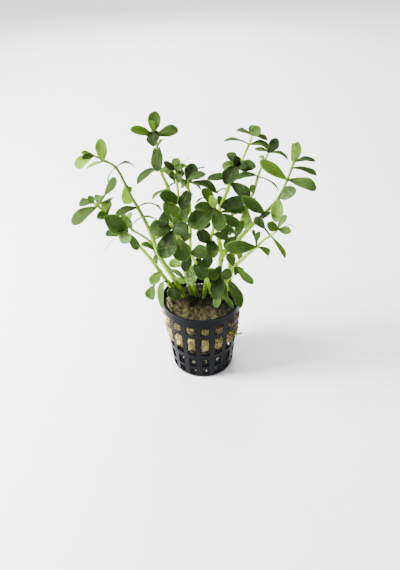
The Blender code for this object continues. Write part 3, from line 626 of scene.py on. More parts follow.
shoots = {
    "far_left_shoot": {
        "glow": (0.6, 0.3, 0.15, 0.35, 0.82, 0.6, 0.2, 0.25, 0.66, 0.7, 0.78, 0.38, 0.68),
        "stemGlow": (0.8, 0.6, 0.28),
        "radius": (1.8, 0.65),
        "stem": (
            (-11, 51, 5.5), (-14, 59.5, 6), (-18.8, 69.8, 6.5), (-24, 81, 7), (-27, 92, 8),
            (-29.6, 101.3, 9), (-32, 108, 9.5), (-34.7, 114.7, 10), (-37.4, 121, 10.5),
            (-39.9, 128, 11), (-44.5, 139.5, 12), (-51.5, 144.5, 13), (-55.8, 147, 13.5),
        ),
        "leaves": (
            (1.6, (-10.2, 60.8, 2), 3.6, 0.08, 20),
            (2.2, (-10.9, 65.8, 2), 3.4, 0.10, 30),
            (7.0, (-47.8, 110.6, 6), 5.0, 0.13, 28),
            (7.0, (-21.3, 111.8, 14), 3.6, 0.22, 84),
            (9.0, (-40.4, 117.1, 14), 7.0, 0.05, 10, -0.2),
            (9.0, (-37.2, 125.3, 13), 3.0, 0.08, 30),
            (10.0, (-33.7, 138.8, 14), 3.6, 0.28, 72),
            (10.0, (-45.3, 124.6, 8), 3.2, 0.34, 84),
            (11.0, (-50.9, 156.6, 11), 7.2, 0.06, 20, -0.2),
            (10.8, (-60.5, 140.0, 17), 3.8, 0.03, 55),
            (12.0, (-66.6, 140.7, 12), 7.0, 0.10, 22),
            (12.0, (-62.5, 145.4, 8), 3.6, 0.06, 18, -0.2),
            (12.0, (-62.4, 148.7, 12), 3.6, 0.06, 30),
        ),
    },
    "left_low_shoot": {
        "glow": (0.05, 0.42, 0.58, 0.42, 0.38, 0.12, 0.42, 0.58, 0.52, 0.58, 0.34, 0.34, 0.42, 0.16,
                 0.6, 0.28, 0.7),
        "stemGlow": (0.7, 0.95, 0.85),
        "radius": (1.5, 0.7),
        "stem": (
            (-15, 53, 8), (-19.8, 61.3, 6), (-24.6, 70, 4), (-29.3, 79, 2), (-34.8, 87.3, 0),
            (-42, 96.8, -2), (-47, 103.5, -3), (-52.3, 110.2, -4), (-57, 116.2, -5),
            (-59.5, 118.7, -5.5),
        ),
        "leaves": (
            (0.6, (-15.8, 47.6, -3), 9.0, 0.06, 12, -0.2),
            (1.0, (-24.9, 42.0, -13), 4.6, 0.20, 40),
            (2.0, (-30.6, 60.6, -2), 6.6, 0.10, 15),
            (2.0, (-32.2, 49.6, 2), 7.0, 0.05, 12, 0.45),
            (5.0, (-54.2, 109.6, -10), 10.0, 0.10, 10),
            (5.0, (-54.9, 98.2, 0), 5.2, 0.06, 15),
            (5.4, (-36.4, 86.8, -2), 5.6, 0.06, 20),
            (5.6, (-44.8, 90.8, -14), 7.4, 0.06, 15),
            (7.0, (-58.7, 108.8, -8), 5.4, 0.12, 15),
            (7.0, (-51.6, 120.2, 0), 6.2, 0.08, 18),
            (8.0, (-73.4, 105.2, -9), 7.0, 0.16, 20),
            (8.0, (-45.4, 133.9, -1), 5.0, 0.03, 20, 0.35),
            (8.0, (-54.2, 123.0, 2), 6.2, 0.10, 25),
            (9.0, (-67.2, 119.2, -2), 5.2, 0.05, 20),
            (9.0, (-61.9, 122.8, -9), 4.2, 0.10, 15),
            (7.0, (-49.1, 118.1, -6), 2.2, 0.06, 30),
            (7.2, (-47.4, 121.5, 2), 3.0, 0.14, 40),
        ),
    },
    "left_back_shoot": {
        "glow": (0.2, 0.45, 0.4, 0.7, 0.55, 0.3, 0.5, 0.6),
        "stemGlow": (0.45, 0.6, 0.5),
        "radius": (1.4, 0.65),
        "stem": (
            (-12, 54.5, 10), (-17, 65, 11), (-22, 75, 12), (-26.3, 83.5, 13), (-28.6, 91, 13.5),
            (-33.5, 96, 15), (-39.2, 100.4, 16.5), (-41.4, 105, 17),
        ),
        "leaves": (
            (3.0, (-27.4, 74.6, 9), 4.2, 0.08, 25),
            (3.3, (-34.8, 90.4, 11), 4.2, 0.10, 35),
            (4.0, (-20, 96, 20), 4.6, 0.12, 45),
            (4.0, (-25.2, 96.6, 14), 4.2, 0.08, 20),
            (6.0, (-44.6, 110.2, 12), 4.8, 0.10, 15),
            (6.2, (-23.2, 105.4, 19), 4.0, 0.26, 84),
            (7.0, (-45.6, 112.6, 21), 3.8, 0.10, 40),
            (7.0, (-38.0, 111.6, 15), 3.6, 0.10, 30),
        ),
    },
    "tallest_shoot": {
        "glow": (0.75, 0.9, 0.45, 0.4, 0.55, 0.35, 0.2, 0.3, 0.4, 0.14, 0.22, 0.3, 0.68, 0.28, 0.08,
                 0.36, 0.75),
        "stemGlow": (0.6, 0.8, 0.8),
        "radius": (1.6, 0.75),
        "stem": (
            (-4, 53, 8.2), (-9, 68, 10), (-11, 84, 12), (-12.5, 98, 13.5), (-14.5, 112, 15),
            (-16.8, 126, 16), (-20.2, 137.2, 16.5), (-21.5, 150.5, 17), (-22.3, 157, 17),
            (-22.4, 159.6, 17),
        ),
        "leaves": (
            (0.6, (-12.8, 65.8, 6), 4.2, 0.06, 20),
            (1.4, (-19.2, 76.6, 11.5), 6.4, 0.08, 160),
            (3.0, (-20, 109, 20), 5.4, 0.12, 50),
            (3.0, (-3, 107, 19), 5.4, 0.12, 50),
            (5.0, (-26.2, 119.5, 12), 3.6, 0.10, 60),
            (5.0, (-11, 128.8, 21), 3.6, 0.14, 78),
            (6.0, (-33.9, 129.3, 12), 5.8, 0.24, 44),
            (6.0, (-12.6, 137.6, 14), 5.6, 0.10, 30),
            (6.0, (-12.2, 128.6, 14), 3.2, 0.12, 60),
            (7.0, (-21.9, 136.6, 11), 7.2, 0.06, 12, -0.3),
            (7.0, (-20.3, 156, 28), 4.2, 0.12, 50),
            (7.0, (-17.9, 155.2, 19), 2.8, 0.08, 60),
            (8.0, (-35.1, 161.2, 13), 5.4, 0.05, 20),
            (8.0, (-9.8, 160.3, 19), 6.8, 0.08, 18),
            (9.0, (-23.2, 151.2, 11), 7.4, 0.06, 12, -0.3),
            (9.0, (-20.9, 170.6, 14), 7.4, 0.04, 10),
            (9.0, (-25.0, 165.4, 10), 4.4, 0.05, 20),
        ),
    },
    "centre_left_shoot": {
        "glow": (0.5, 0.1, 0.35, 0.3, 0.3, 0.55, 0.3, 0.2, 0.25, 0.32, 0.2, 0.8),
        "stemGlow": (0.62, 0.7, 0.85),
        "radius": (1.4, 0.75),
        "stem": (
            (-6, 52, 6.8), (-8.5, 66, 6), (-9.5, 80, 5.5), (-10, 92, 5), (-10, 104.5, 5),
            (-11, 117, 5), (-11.8, 129, 4.5), (-12.2, 137, 4),
        ),
        "leaves": (
            (4.0, (-20.2, 117.2, 0), 9.6, 0.08, 12, -0.15),
            (4.0, (-8.8, 91, -6), 7.8, 0.10, 15),
            (4.0, (-7.5, 112.5, 14), 6.0, 0.12, 50),
            (5.0, (-22.2, 122.4, 1), 8.4, 0.10, 15),
            (5.0, (-3, 122, 10), 4.6, 0.12, 60),
            (6.4, (-16.4, 134.4, 1), 5.2, 0.06, 25),
            (6.6, (-7.6, 134, 1), 6.0, 0.08, 25),
            (6.6, (-10.6, 129.4, -4), 4.4, 0.08, 15),
            (7.0, (-18.6, 142.2, 1), 3.8, 0.06, 15),
            (7.0, (-11.4, 144.4, 6), 5.4, 0.06, 20),
            (7.0, (-9, 140.6, -1), 4.2, 0.08, 10),
            (7.0, (-5.9, 139.8, 6), 3.8, 0.08, 40),
        ),
    },
    "centre_shoot": {
        "glow": (0.2, 0.15, 0.02, 0.3, 0.3, 0.35, 0.28, 0.0, 0.1, 0.2),
        "stemGlow": (0.55, 0.75, 0.8),
        "radius": (1.4, 0.7),
        "stem": (
            (-2.5, 51, 5.4), (-5, 60.5, 2), (-5.8, 72, -1), (-5.9, 84, -2.5), (-5.5, 96, -3),
            (-5, 110, -3), (-5.5, 124, -2.5), (-5.6, 131, -2),
        ),
        "leaves": (
            (4.5, (6.6, 102.0, -6), 6.4, 0.10, 12),
            (5.6, (-9.4, 106.2, -6), 5.6, 0.08, 12),
            (6.0, (-9.4, 112.4, -9), 7.2, 0.08, 10, -0.2),
            (6.0, (-3.5, 130, 8), 5.0, 0.12, 55),
            (6.6, (10.2, 122.6, -4), 5.8, 0.18, 42),
            (6.8, (1.6, 124.8, -1), 3.6, 0.10, 60),
            (6.8, (-9.6, 128.4, -1), 5.8, 0.10, 20),
            (7.0, (-1.9, 140.7, -3), 7.8, 0.04, 8, -0.15),
            (7.0, (4.3, 134, -6), 4.6, 0.10, 25),
            (7.0, (4.3, 138.2, 3), 2.6, 0.16, 78),
        ),
    },
    "front_left_shoot": {
        "glow": (0.1, 0.36, 0.14, 0.22, 0.0, 0.34, 0.24, 0.1, 0.24, 0.05, 0.5, 0.04),
        "stemGlow": (0.6, 0.95, 0.9),
        "radius": (1.2, 0.85),
        "stem": (
            (6.3, 51.5, 5.5), (5.3, 57.5, 3), (3.6, 64.5, 0), (-0.5, 71.5, -4), (-2.8, 75.5, -6),
            (-6, 83, -9), (-11.5, 91, -12), (-14.5, 97.5, -13), (-15.3, 101, -13.5),
            (-17.5, 104, -14),
        ),
        "leaves": (
            (3.0, (-2.1, 79.8, -4), 4.6, 0.08, 20),
            (4.0, (-7.6, 60, -12), 7.4, 0.08, 12),
            (4.0, (1.8, 63.4, -11), 8.0, 0.08, 15, -0.2),
            (5.0, (4.6, 83.4, -11), 8.4, 0.08, 20),
            (5.0, (-9.4, 69.4, -16), 5.8, 0.08, 15),
            (6.4, (-10, 77.3, -18), 10.4, 0.10, 10),
            (6.0, (-21, 91.5, -8), 5.6, 0.12, 40),
            (7.5, (-22.8, 79.8, -20), 10.8, 0.10, 10),
            (8.0, (-29.2, 98.8, -16), 9.4, 0.10, 15),
            (8.0, (-7.4, 98.6, -18), 8.0, 0.08, 10),
            (8.0, (-15.4, 108.5, -7), 4.6, 0.12, 45),
            (9.0, (-23.6, 106.4, -13), 8.8, 0.08, 15),
        ),
    },
    "centre_front_shoot": {
        "glow": (0.06, 0.3, 0.16, 0.28, 0.32, 0.35, 0.2, 0.3, 0.35, 0.55, 0.95, 0.2),
        "stemGlow": (0.55, 0.75, 0.8),
        "radius": (1.4, 0.75),
        "stem": (
            (1.6, 49.5, 3.3), (2.8, 60, 4.5), (4.6, 72, 4), (5.5, 82, 2), (6, 91, 0),
            (8, 99, -2), (8.8, 107, -2.5), (9.2, 113, -3),
        ),
        "leaves": (
            (3.2, (3.6, 71.8, -4), 7.0, 0.08, 12),
            (4.0, (8, 79, -7), 8.2, 0.08, 10, -0.2),
            (4.0, (-2, 97.6, -5), 7.6, 0.08, 12),
            (4.6, (17, 92.6, -3), 4.8, 0.10, 20),
            (5.3, (19.8, 96.6, -4), 6.2, 0.10, 15),
            (6.3, (23.6, 101.2, -5), 6.2, 0.12, 15),
            (7.0, (-6.2, 101.6, -7), 11.4, 0.08, 10, -0.1),
            (7.0, (11.4, 97.6, -11), 8.4, 0.08, 10),
            (7.0, (-3, 113.4, -10), 6.0, 0.10, 20),
            (7.0, (2.2, 125.6, -1), 6.2, 0.10, 20),
            (7.0, (6.2, 121, -7), 4.8, 0.08, 20),
            (6.8, (-1.4, 116.4, 5), 2.6, 0.26, 78),
        ),
    },
    "right_centre_shoot": {
        "glow": (0.5, 0.85, 0.45, 0.03, 0.3, 0.3, 0.3, 0.14, 0.1, 0.14, 0.0, 0.42, 0.12, 0.08, 0.1, 0.25,
                 0.42, 0.34, 0.26, 0.16, 0.38),
        "stemGlow": (0.55, 0.9, 0.88),
        "radius": (1.75, 0.7),
        "stem": (
            (9, 52, 7), (11, 62, 5.5), (11.8, 72, 4), (12.6, 82, 3), (11.3, 91, 2.5),
            (10.3, 99, 2.5), (10.8, 106.5, 2.5), (11.9, 113.3, 2.5), (14.3, 119, 3),
            (17.6, 128.5, 3.5), (21.3, 138.8, 4.5), (24, 142.5, 5), (27.5, 150.7, 6.5),
            (29, 156, 7.5),
        ),
        "leaves": (
            (6.5, (24.8, 109.5, 6), 4.8, 0.10, 30),
            (2.6, (16.8, 84.6, 0), 4.2, 0.08, 30),
            (7.0, (11.2, 121, 4), 4.4, 0.10, 30),
            (7.0, (26.8, 117.2, -3), 7.6, 0.10, 15),
            (7.0, (26.6, 112.2, 1), 6.6, 0.10, 15),
            (8.6, (10.3, 121.8, 8), 2.4, 0.12, 82),
            (8.6, (20.5, 124, 10), 2.6, 0.20, 82),
            (9.0, (4.8, 131.2, 1), 5.6, 0.25, 45),
            (9.0, (28.8, 119.4, -2), 7.2, 0.08, 15),
            (10.0, (31.8, 137.8, 0), 7.0, 0.08, 15, -0.15),
            (10.0, (26.6, 137.6, -2), 3.6, 0.05, 10),
            (10.0, (13, 138.6, 4), 5.4, 0.12, 20),
            (10.0, (16.6, 146.6, 8), 5.6, 0.06, 20),
            (10.0, (20.2, 144.8, 1), 4.8, 0.06, 15),
            (10.0, (14.8, 127.4, -4), 9.4, 0.08, 10),
            (12.0, (14.2, 153.1, 4), 3.6, 0.12, 70),
            (12.0, (38.5, 149.8, 9), 5.2, 0.12, 42),
            (13.0, (33.4, 160.2, 6), 6.0, 0.05, 12),
            (13.0, (29.8, 161.8, 9), 4.6, 0.06, 20),
            (13.0, (20.6, 158.8, 10), 4.2, 0.10, 55),
            (13.0, (37.4, 152.9, 10), 3.6, 0.10, 38),
        ),
    },
    "right_back_shoot": {
        "glow": (0.2, 0.4, 0.22, 0.82, 0.5, 0.42, 0.45, 0.14, 0.25, 0.55, 0.02, 0.35, 0.38, 0.38),
        "stemGlow": (0.3, 0.55, 0.6),
        "radius": (1.45, 0.65),
        "stem": (
            (13, 53.5, 8.8), (16, 64, 10), (18, 75, 11), (19.5, 85, 12), (21.3, 94, 13),
            (24, 104, 14), (27.4, 114.5, 15), (30.6, 122, 16), (32.9, 131.7, 17),
            (34.5, 137, 17.5), (36.6, 141.9, 18), (38.3, 145.8, 18.5),
        ),
        "leaves": (
            (4.0, (14.8, 85, 6), 6.0, 0.10, 15),
            (4.0, (14, 101, 17), 5.4, 0.12, 50),
            (4.0, (25.6, 104.4, 4), 5.0, 0.08, 20),
            (6.0, (27.2, 98.6, 8), 7.4, 0.08, 165),
            (6.0, (18.4, 107.8, 12), 5.2, 0.08, 30),
            (6.0, (31, 117.5, 25), 5.0, 0.12, 50),
            (7.0, (28.9, 127, 13), 4.2, 0.08, 20),
            (8.0, (21.1, 130.6, 14), 5.2, 0.18, 45),
            (8.0, (45.1, 122.4, 15), 2.8, 0.13, 72),
            (10.0, (32.9, 143.8, 20), 3.2, 0.10, 45),
            (11.0, (42.8, 153.8, 17), 6.4, 0.04, 8),
            (11.0, (35.3, 150.2, 23), 2.6, 0.06, 50),
            (11.0, (30.6, 147.9, 16), 3.8, 0.10, 55),
            (11.0, (49.2, 141.0, 20), 4.0, 0.18, 55),
        ),
    },
    "right_tall_shoot": {
        "glow": (0.45, 0.36, 0.0, 0.26, 0.6, 0.7, 0.37, 0.46, 0.46, 0.52, 0.8, 0.16),
        "stemGlow": (0.55, 0.74, 0.56),
        "radius": (1.7, 0.7),
        "stem": (
            (10.5, 50, 4), (15, 62, 1), (18.5, 75, -0.5), (20.5, 86, -1), (24.2, 93.5, -1),
            (29.6, 100.2, -1), (33.2, 104, -1), (37.3, 108.4, -1), (42.3, 114.3, -1),
            (45.2, 118.6, -1), (47.2, 123.5, -1), (49.2, 129.3, -1), (51.3, 136.5, -1),
            (52.2, 140.5, -1),
        ),
        "leaves": (
            (3.0, (23.6, 76.2, 3), 4.4, 0.08, 35),
            (7.0, (24, 119.8, -6), 6.6, 0.10, 15),
            (6.4, (41.0, 109.2, -8), 3.6, 0.08, 20),
            (9.0, (54.8, 123, -6), 7.6, 0.10, 22),
            (9.0, (44.4, 102.6, -9), 7.0, 0.08, 12),
            (11.0, (33.5, 141.4, -5), 6.4, 0.08, 15),
            (11.0, (65.9, 123.0, -5), 7.0, 0.16, 25),
            (12.0, (65.4, 131.6, 2), 4.8, 0.09, 48),
            (12.0, (50.4, 145.5, 9), 3.6, 0.08, 50),
            (13.0, (53.8, 151.7, -2), 5.8, 0.04, 12, -0.2),
            (13.0, (50.7, 151.2, -6), 3.4, 0.05, 30),
            (12.7, (63.8, 140.6, 1), 4.4, 0.12, 48),
        ),
    },
    "right_low_shoot": {
        "glow": (0.32, 0.52, 0.52, 0.42, 0.52, 0.52, 0.42, 0.6, 0.16, 0.4, 0.16, 0.62, 0.44, 0.46, 0.46),
        "stemGlow": (0.5, 0.78, 0.62),
        "radius": (1.4, 0.65),
        "stem": (
            (14, 48.5, 2), (16.5, 58, -1), (18.8, 68.5, -4), (20.5, 72.5, -5), (26.3, 79, -7),
            (29.7, 82.4, -8), (33.5, 86.2, -9), (37.4, 90.7, -10), (41.4, 93.6, -11),
            (45.6, 97.8, -12),
        ),
        "leaves": (
            (1.3, (24.6, 40.6, -13), 6.6, 0.12, 18, -0.2),
            (3.0, (32.4, 59.2, -10), 5.0, 0.08, 12),
            (3.0, (25.8, 67.4, -7), 4.6, 0.08, 25),
            (3.0, (20.7, 66.0, -9), 3.2, 0.10, 40),
            (3.0, (16.2, 82, -4), 5.6, 0.08, 20),
            (3.8, (21, 83.6, -3), 4.4, 0.10, 30),
            (6.0, (14.6, 86.2, -15), 7.8, 0.06, 12),
            (6.0, (41.0, 79.4, -8), 4.8, 0.24, 35),
            (6.0, (35.2, 96.8, -12), 3.2, 0.06, 20, 0.4),
            (6.0, (30.8, 98.2, -5), 2.6, 0.06, 40, 0.45),
            (8.0, (31.8, 106.4, -9), 5.0, 0.06, 15, 0.35),
            (8.0, (51, 77.4, -13), 3.2, 0.08, 30),
            (9.0, (38.9, 101.8, -14), 5.6, 0.08, 12),
            (9.0, (50.2, 107.2, -10), 3.8, 0.10, 25),
            (9.0, (53.4, 95.6, -14), 4.6, 0.06, 15),
        ),
    },
    "short_front_shoot": {
        "glow": (0.45, 0.35, 0.1, 0.42, 0.45, 0.18, 0.25),
        "stemGlow": (0.3, 0.5, 0.5),
        "radius": (1.3, 0.95),
        "stem": ((11, 46, -1.3), (11.5, 55, -5), (11, 63.5, -8), (11.5, 67.5, -9)),
        "leaves": (
            (0.8, (9.4, 41.3, -10), 5.0, 0.08, 15),
            (1.0, (19.9, 40.6, -10), 3.4, 0.08, 25),
            (3.0, (9.8, 47.2, -16), 8.6, 0.08, 10, -0.3),
            (2.3, (15.2, 49.2, -14), 4.8, 0.06, 25),
            (3.0, (3.4, 65.6, -12), 7.8, 0.08, 20),
            (3.0, (18.8, 65.4, -12), 7.4, 0.08, 20),
            (3.0, (9.4, 72.6, -8), 5.6, 0.08, 30),
        ),
    },
}


# Thin dried leaves and roots that curl off the stems: half the thickness, then places.
strands = {
    "left_low_shoot": ((0.22, ((-50.3, 94.5, -4), (-53.7, 90.8, -3), (-56, 86.5, -2), (-57, 84, -2))),),
    "tallest_shoot": ((0.26, ((-11, 138.6, 14), (-8.5, 141.5, 13), (-3.5, 144.5, 12))),),
    "centre_front_shoot": (
        (0.22, ((17, 62, -6), (19, 63, -8), (19.8, 65, -8), (18.6, 66.5, -8), (17.6, 65, -8))),
        (0.22, ((-0.5, 96.3, -2), (-4.8, 94.8, -3))),
    ),
    "right_centre_shoot": ((0.25, ((17.5, 94, -6), (18.6, 95.8, -6), (17.9, 97, -6), (16.8, 95.6, -6))),),
    "right_low_shoot": ((0.3, ((46.4, 98.2, -12), (52, 100.6, -12), (56, 98.8, -12))),),
}

leafColours = {
    "glow": (  # (glow, colour), from thick and shaded to thin and lit through
        (0.0, (0.012, 0.020, 0.0070, 1)), (0.09, (0.021, 0.036, 0.0115, 1)),
        (0.25, (0.038, 0.066, 0.017, 1)), (0.5, (0.069, 0.124, 0.024, 1)),
        (0.75, (0.118, 0.222, 0.022, 1)), (1.0, (0.24, 0.43, 0.014, 1))),
    "stemGlow": (
        (0.0, (0.03, 0.045, 0.018, 1)), (0.5, (0.13, 0.205, 0.038, 1)), (1.0, (0.43, 0.66, 0.035, 1))),
    "under": (0.14, 0.20, 0.08, 1),
    "sheen": (0.36, 0.46, 0.22, 1),
}
sheenLeaves = {  # how strongly a painted sheen shows over the creases of some leaves, by their number in the table
    "left_low_shoot": {7: 0.5, 16: 0.6}, "left_back_shoot": {4: 0.3, 7: 0.4},
    "tallest_shoot": {1: 0.9}, "front_left_shoot": {1: 0.42, 6: 0.05, 7: 0.08},
    "centre_front_shoot": {10: 0.35}, "right_back_shoot": {3: 0.3},
    "right_tall_shoot": {3: 0.12, 10: 0.25},
}


def leafMaterial(name, roughness, specular, depth):  # flesh that lets some light through
    material, tree, shader = newMaterial(name)
    feed(tree, shader, {
        "Roughness": roughness, "Specular IOR Level": specular, "Subsurface Weight": 0.25,
        "Subsurface Radius": (0.6, 1.0, 0.18), "Subsurface Scale": depth})
    return material, tree, shader


def makeLeafMaterial():  # darker and shinier above, pale and dull below, with a faint midrib
    material, tree, shader = leafMaterial("leafFlesh", 0.4, 0.003, 0.0012)
    along = attributeValue(tree, "leafAlong")
    across = doMath(tree, "ABSOLUTE", attributeValue(tree, "leafAcross"))
    upper = mapped(tree, attributeValue(tree, "leafUpper"), -0.12, 0.12)
    glow = attributeValue(tree, "leafGlow")
    point = objectPoint(tree)
    mottle = noiseAt(tree, point, 330.0, 3.0)
    ribWidth = mapped(tree, along, 0.1, 1.0, 0.16, 0.03, smooth=False)
    rib = times(tree, mapped(tree, doMath(tree, "DIVIDE", across, ribWidth), 1.0, 0.35),
                mapped(tree, along, 0.98, 0.5))
    slant = minus(tree, along, times(tree, across, 0.22))
    veins = doMath(tree, "SINE", times(tree, slant, 62.0))
    vein = times(tree, mapped(tree, veins, 0.7, 1.0), mapped(tree, across, 0.95, 0.3))
    edge = mapped(tree, across, 0.90, 1.0)
    foot = mapped(tree, along, 0.16, 0.02)
    lift = times(tree, minus(tree, mottle, 0.5), 0.30)
    # the paler margin is painted light that the thin edge lets through
    for share, amount in ((rib, 0.12), (vein, 0.03), (edge, 0.06), (foot, 0.35)):
        lift = plus(tree, lift, times(tree, share, amount))
    top = ramped(tree, plus(tree, glow, lift), leafColours["glow"])
    paler = doMath(tree, "MULTIPLY_ADD", glow, 0.85, 0.1)
    below = ramped(tree, plus(tree, paler, lift), leafColours["glow"])
    below = mixed(tree, 0.15, below, leafColours["under"])
    # a painted sheen: whitish streaks laid over the creases of the leaves that have one
    creases = noiseAt(tree, doVector(tree, "MULTIPLY", point, (1.0, 1.0, 0.3)), 900.0, 3.0, 0.6)
    sheen = times(tree, mapped(tree, creases, 0.44, 0.66), attributeValue(tree, "leafSheen"))
    relief = minus(tree, times(tree, noiseAt(tree, point, 800.0, 2.0), 0.6),
                   plus(tree, times(tree, rib, 0.9), times(tree, vein, 0.6)))
    feed(tree, shader, {
        "Base Color": mixed(tree, sheen, mixed(tree, upper, below, top), leafColours["sheen"]),
        "Roughness": mapped(tree, plus(tree, upper, mottle), 0.3, 1.7, 0.55, 0.34),
        "Normal": bumped(tree, relief, 0.3, 0.0002)})
    return material


def makeStemMaterial():  # juicy stems, with fine streaks along them
    material, tree, shader = leafMaterial("stemFlesh", 0.45, 0.015, 0.0015)
    drawnOut = doVector(tree, "MULTIPLY", objectPoint(tree), (1.0, 1.0, 0.12))
    streaks = noiseAt(tree, drawnOut, 1400.0, 2.0, 0.5)
    glow = plus(tree, attributeValue(tree, "stemGlow"), times(tree, minus(tree, streaks, 0.5), 0.5))
    feed(tree, shader, {
        "Base Color": ramped(tree, glow, leafColours["stemGlow"]),
        "Normal": bumped(tree, streaks, 0.3, 0.0002)})
    return material


def seenAt(place, footBack):
    across, up, back = place
    back = footBack + (back - footBack) * shootForm["depthSpread"]
    eye = shootForm["eye"]
    onPlane = Vector((across * mm, 0, up * mm))
    return eye + (onPlane - eye) * (1 - back * mm / eye.y)


def alongRoute(points, place):  # a point of the smooth curve through the points, at a count such as 2.5
    first = min(max(int(place), 0), len(points) - 2)
    t = place - first
    a = points[max(first - 1, 0)]
    b = points[first]
    c = points[first + 1]
    d = points[min(first + 2, len(points) - 1)]
    return 0.5 * (2 * b + (c - a) * t + (2 * a - 5 * b + 4 * c - d) * t**2 + (3 * b - a - 3 * c + d) * t**3)


def leafFacing(base, tip, turn):  # the normal of a leaf's upper face
    along = (tip - base).normalized()
    toEye = (shootForm["eye"] - (base + tip) / 2).normalized()
    facing = (toEye - along * toEye.dot(along)).normalized()
    skyward = along.cross(facing)
    if skyward.z < 0:
        skyward = -skyward
    return facing * math.cos(turn) + skyward * math.sin(turn)


def makeShootTree():
    tree, given, result = newTree("stemWithLeaves", (
        ("Leaf places", "Object"), ("Stem sides", "Int"), ("Leaf sides", "Int"), ("Leaf rings", "Int"),
        ("Leaf thickness", "Float"), ("Stalk width", "Float"), ("Stem material", "Material"),
        ("Leaf material", "Material"), ("Foot glow", "Float"), ("Middle glow", "Float"),
        ("Tip glow", "Float")))
    section = addNode(tree, "GeometryNodeCurvePrimitiveCircle", {
        "Resolution": given["Stem sides"], "Radius": 1.0}).outputs[0]
    share = addNode(tree, "GeometryNodeSplineParameter").outputs["Factor"]
    lower = mapped(tree, share, 0.0, 0.5, given["Foot glow"], given["Middle glow"], smooth=False)
    gain = minus(tree, given["Tip glow"], given["Middle glow"])
    rest = mapped(tree, share, 0.5, 1.0, 0.0, gain, smooth=False)
    girth = addNode(tree, "GeometryNodeInputRadius").outputs[0]
    dried = mapped(tree, girth, 0.4 * mm, 0.3 * mm, 0.0, 0.35)  # strands are duller than stems
    bright = minus(tree, plus(tree, lower, rest), dried)
    route = storeNamed(tree, given["Geometry"], "stemGlow", bright)
    stem = addNode(tree, "GeometryNodeCurveToMesh", {
        "Curve": route, "Profile Curve": section, "Scale": girth, "Fill Caps": True}).outputs[0]
    stem = painted(tree, stem, given["Stem material"])

    # One leaf is a ball, whose poles become the leaf's base and tip.
    ball = addNode(tree, "GeometryNodeMeshUVSphere", {
        "Segments": given["Leaf sides"], "Rings": given["Leaf rings"], "Radius": 1.0}).outputs["Mesh"]
    here = addNode(tree, "GeometryNodeInputPosition").outputs[0]
    spot = addNode(tree, "ShaderNodeSeparateXYZ", {"Vector": here}).outputs
    level = minus(tree, 1.0, times(tree, spot["Z"], spot["Z"]))
    girth = doMath(tree, "SQRT", doMath(tree, "MAXIMUM", level, 0.0001))
    ball = storeNamed(tree, ball, "leafAlong", doMath(tree, "MULTIPLY_ADD", spot["Z"], 0.5, 0.5))
    ball = storeNamed(tree, ball, "leafAcross", doMath(tree, "DIVIDE", spot["X"], girth))
    ball = storeNamed(tree, ball, "leafUpper", doMath(tree, "DIVIDE", spot["Y"], girth))
    places = addNode(tree, "GeometryNodeObjectInfo", {"Object": given["Leaf places"]}).outputs["Geometry"]
    leaves = addNode(tree, "GeometryNodeInstanceOnPoints", {"Points": places, "Instance": ball}).outputs[0]
    leaves = addNode(tree, "GeometryNodeRealizeInstances", {"Geometry": leaves}).outputs[0]

    along, across, upper, width, stalk, wave = (readNamed(tree, name) for name in (
        "leafAlong", "leafAcross", "leafUpper", "leafWidth", "leafStalk", "leafWave"))
    reach, facing = (readNamed(tree, name, "FLOAT_VECTOR") for name in ("leafReach", "leafFacing"))
    length = doVector(tree, "LENGTH", reach)
    sideways = doVector(tree, "CROSS_PRODUCT", facing, doVector(tree, "NORMALIZE", reach))

    # The outline: a thin stalk, then a blade that is broadest past its middle and round at its tip.
    blade = doMath(tree, "DIVIDE", minus(tree, along, stalk), minus(tree, 1.0, stalk), clamp=True)
    arc = doMath(tree, "SINE", times(tree, doMath(tree, "POWER", blade, 1.8), math.pi))
    outline = doMath(tree, "POWER", doMath(tree, "MAXIMUM", arc, 0.0), 0.5)
    nearTip = doMath(tree, "MULTIPLY", minus(tree, 1.0, along), 12.0, clamp=True)
    endRound = doMath(tree, "SQRT", nearTip)
    baseRound = doMath(tree, "SQRT", doMath(tree, "MULTIPLY", along, 40.0, clamp=True))
    narrow = times(tree, given["Stalk width"], endRound)
    half = times(tree, doMath(tree, "MAXIMUM", times(tree, outline, width), narrow), 0.5, baseRound)

    # The section: thinner towards the tip, its sides raised and rippled, on an arched midrib.
    edge = times(tree, across, across)
    body = times(tree, times(tree, given["Leaf thickness"], 0.5),
                 times(tree, endRound, minus(tree, 1.25, times(tree, along, 0.45))))
    flesh = times(tree, upper, body)
    cup = times(tree, edge, half, readNamed(tree, "leafCup"))
    ripple = doMath(tree, "SINE", plus(tree, times(tree, along, 9.0), wave))
    curl = times(tree, ripple, edge, half, 0.16)
    middle = times(tree, along, minus(tree, 1.0, along))
    arch = times(tree, times(tree, middle, 4.0), times(tree, readNamed(tree, "leafArch"), length))
    sway = doMath(tree, "SINE", times(tree, along, along, math.pi))
    sway = times(tree, sway, length, readNamed(tree, "leafSway"))
    rise = plus(tree, plus(tree, flesh, cup), plus(tree, curl, arch))
    aside = plus(tree, times(tree, across, half), sway)
    place = readNamed(tree, "leafBase", "FLOAT_VECTOR")
    for direction, distance in ((reach, along), (sideways, aside), (facing, rise)):
        place = doVector(tree, "ADD", place, scaled(tree, direction, distance))
    leaves = addNode(tree, "GeometryNodeSetPosition", {"Geometry": leaves, "Position": place}).outputs[0]
    leaves = painted(tree, leaves, given["Leaf material"])
    whole = addNode(tree, "GeometryNodeJoinGeometry")
    tree.links.new(leaves, whole.inputs[0])
    tree.links.new(stem, whole.inputs[0])
    smooth = addNode(tree, "GeometryNodeSetShadeSmooth", {"Geometry": whole.outputs[0]})
    tree.links.new(smooth.outputs[0], result[0])
    return tree


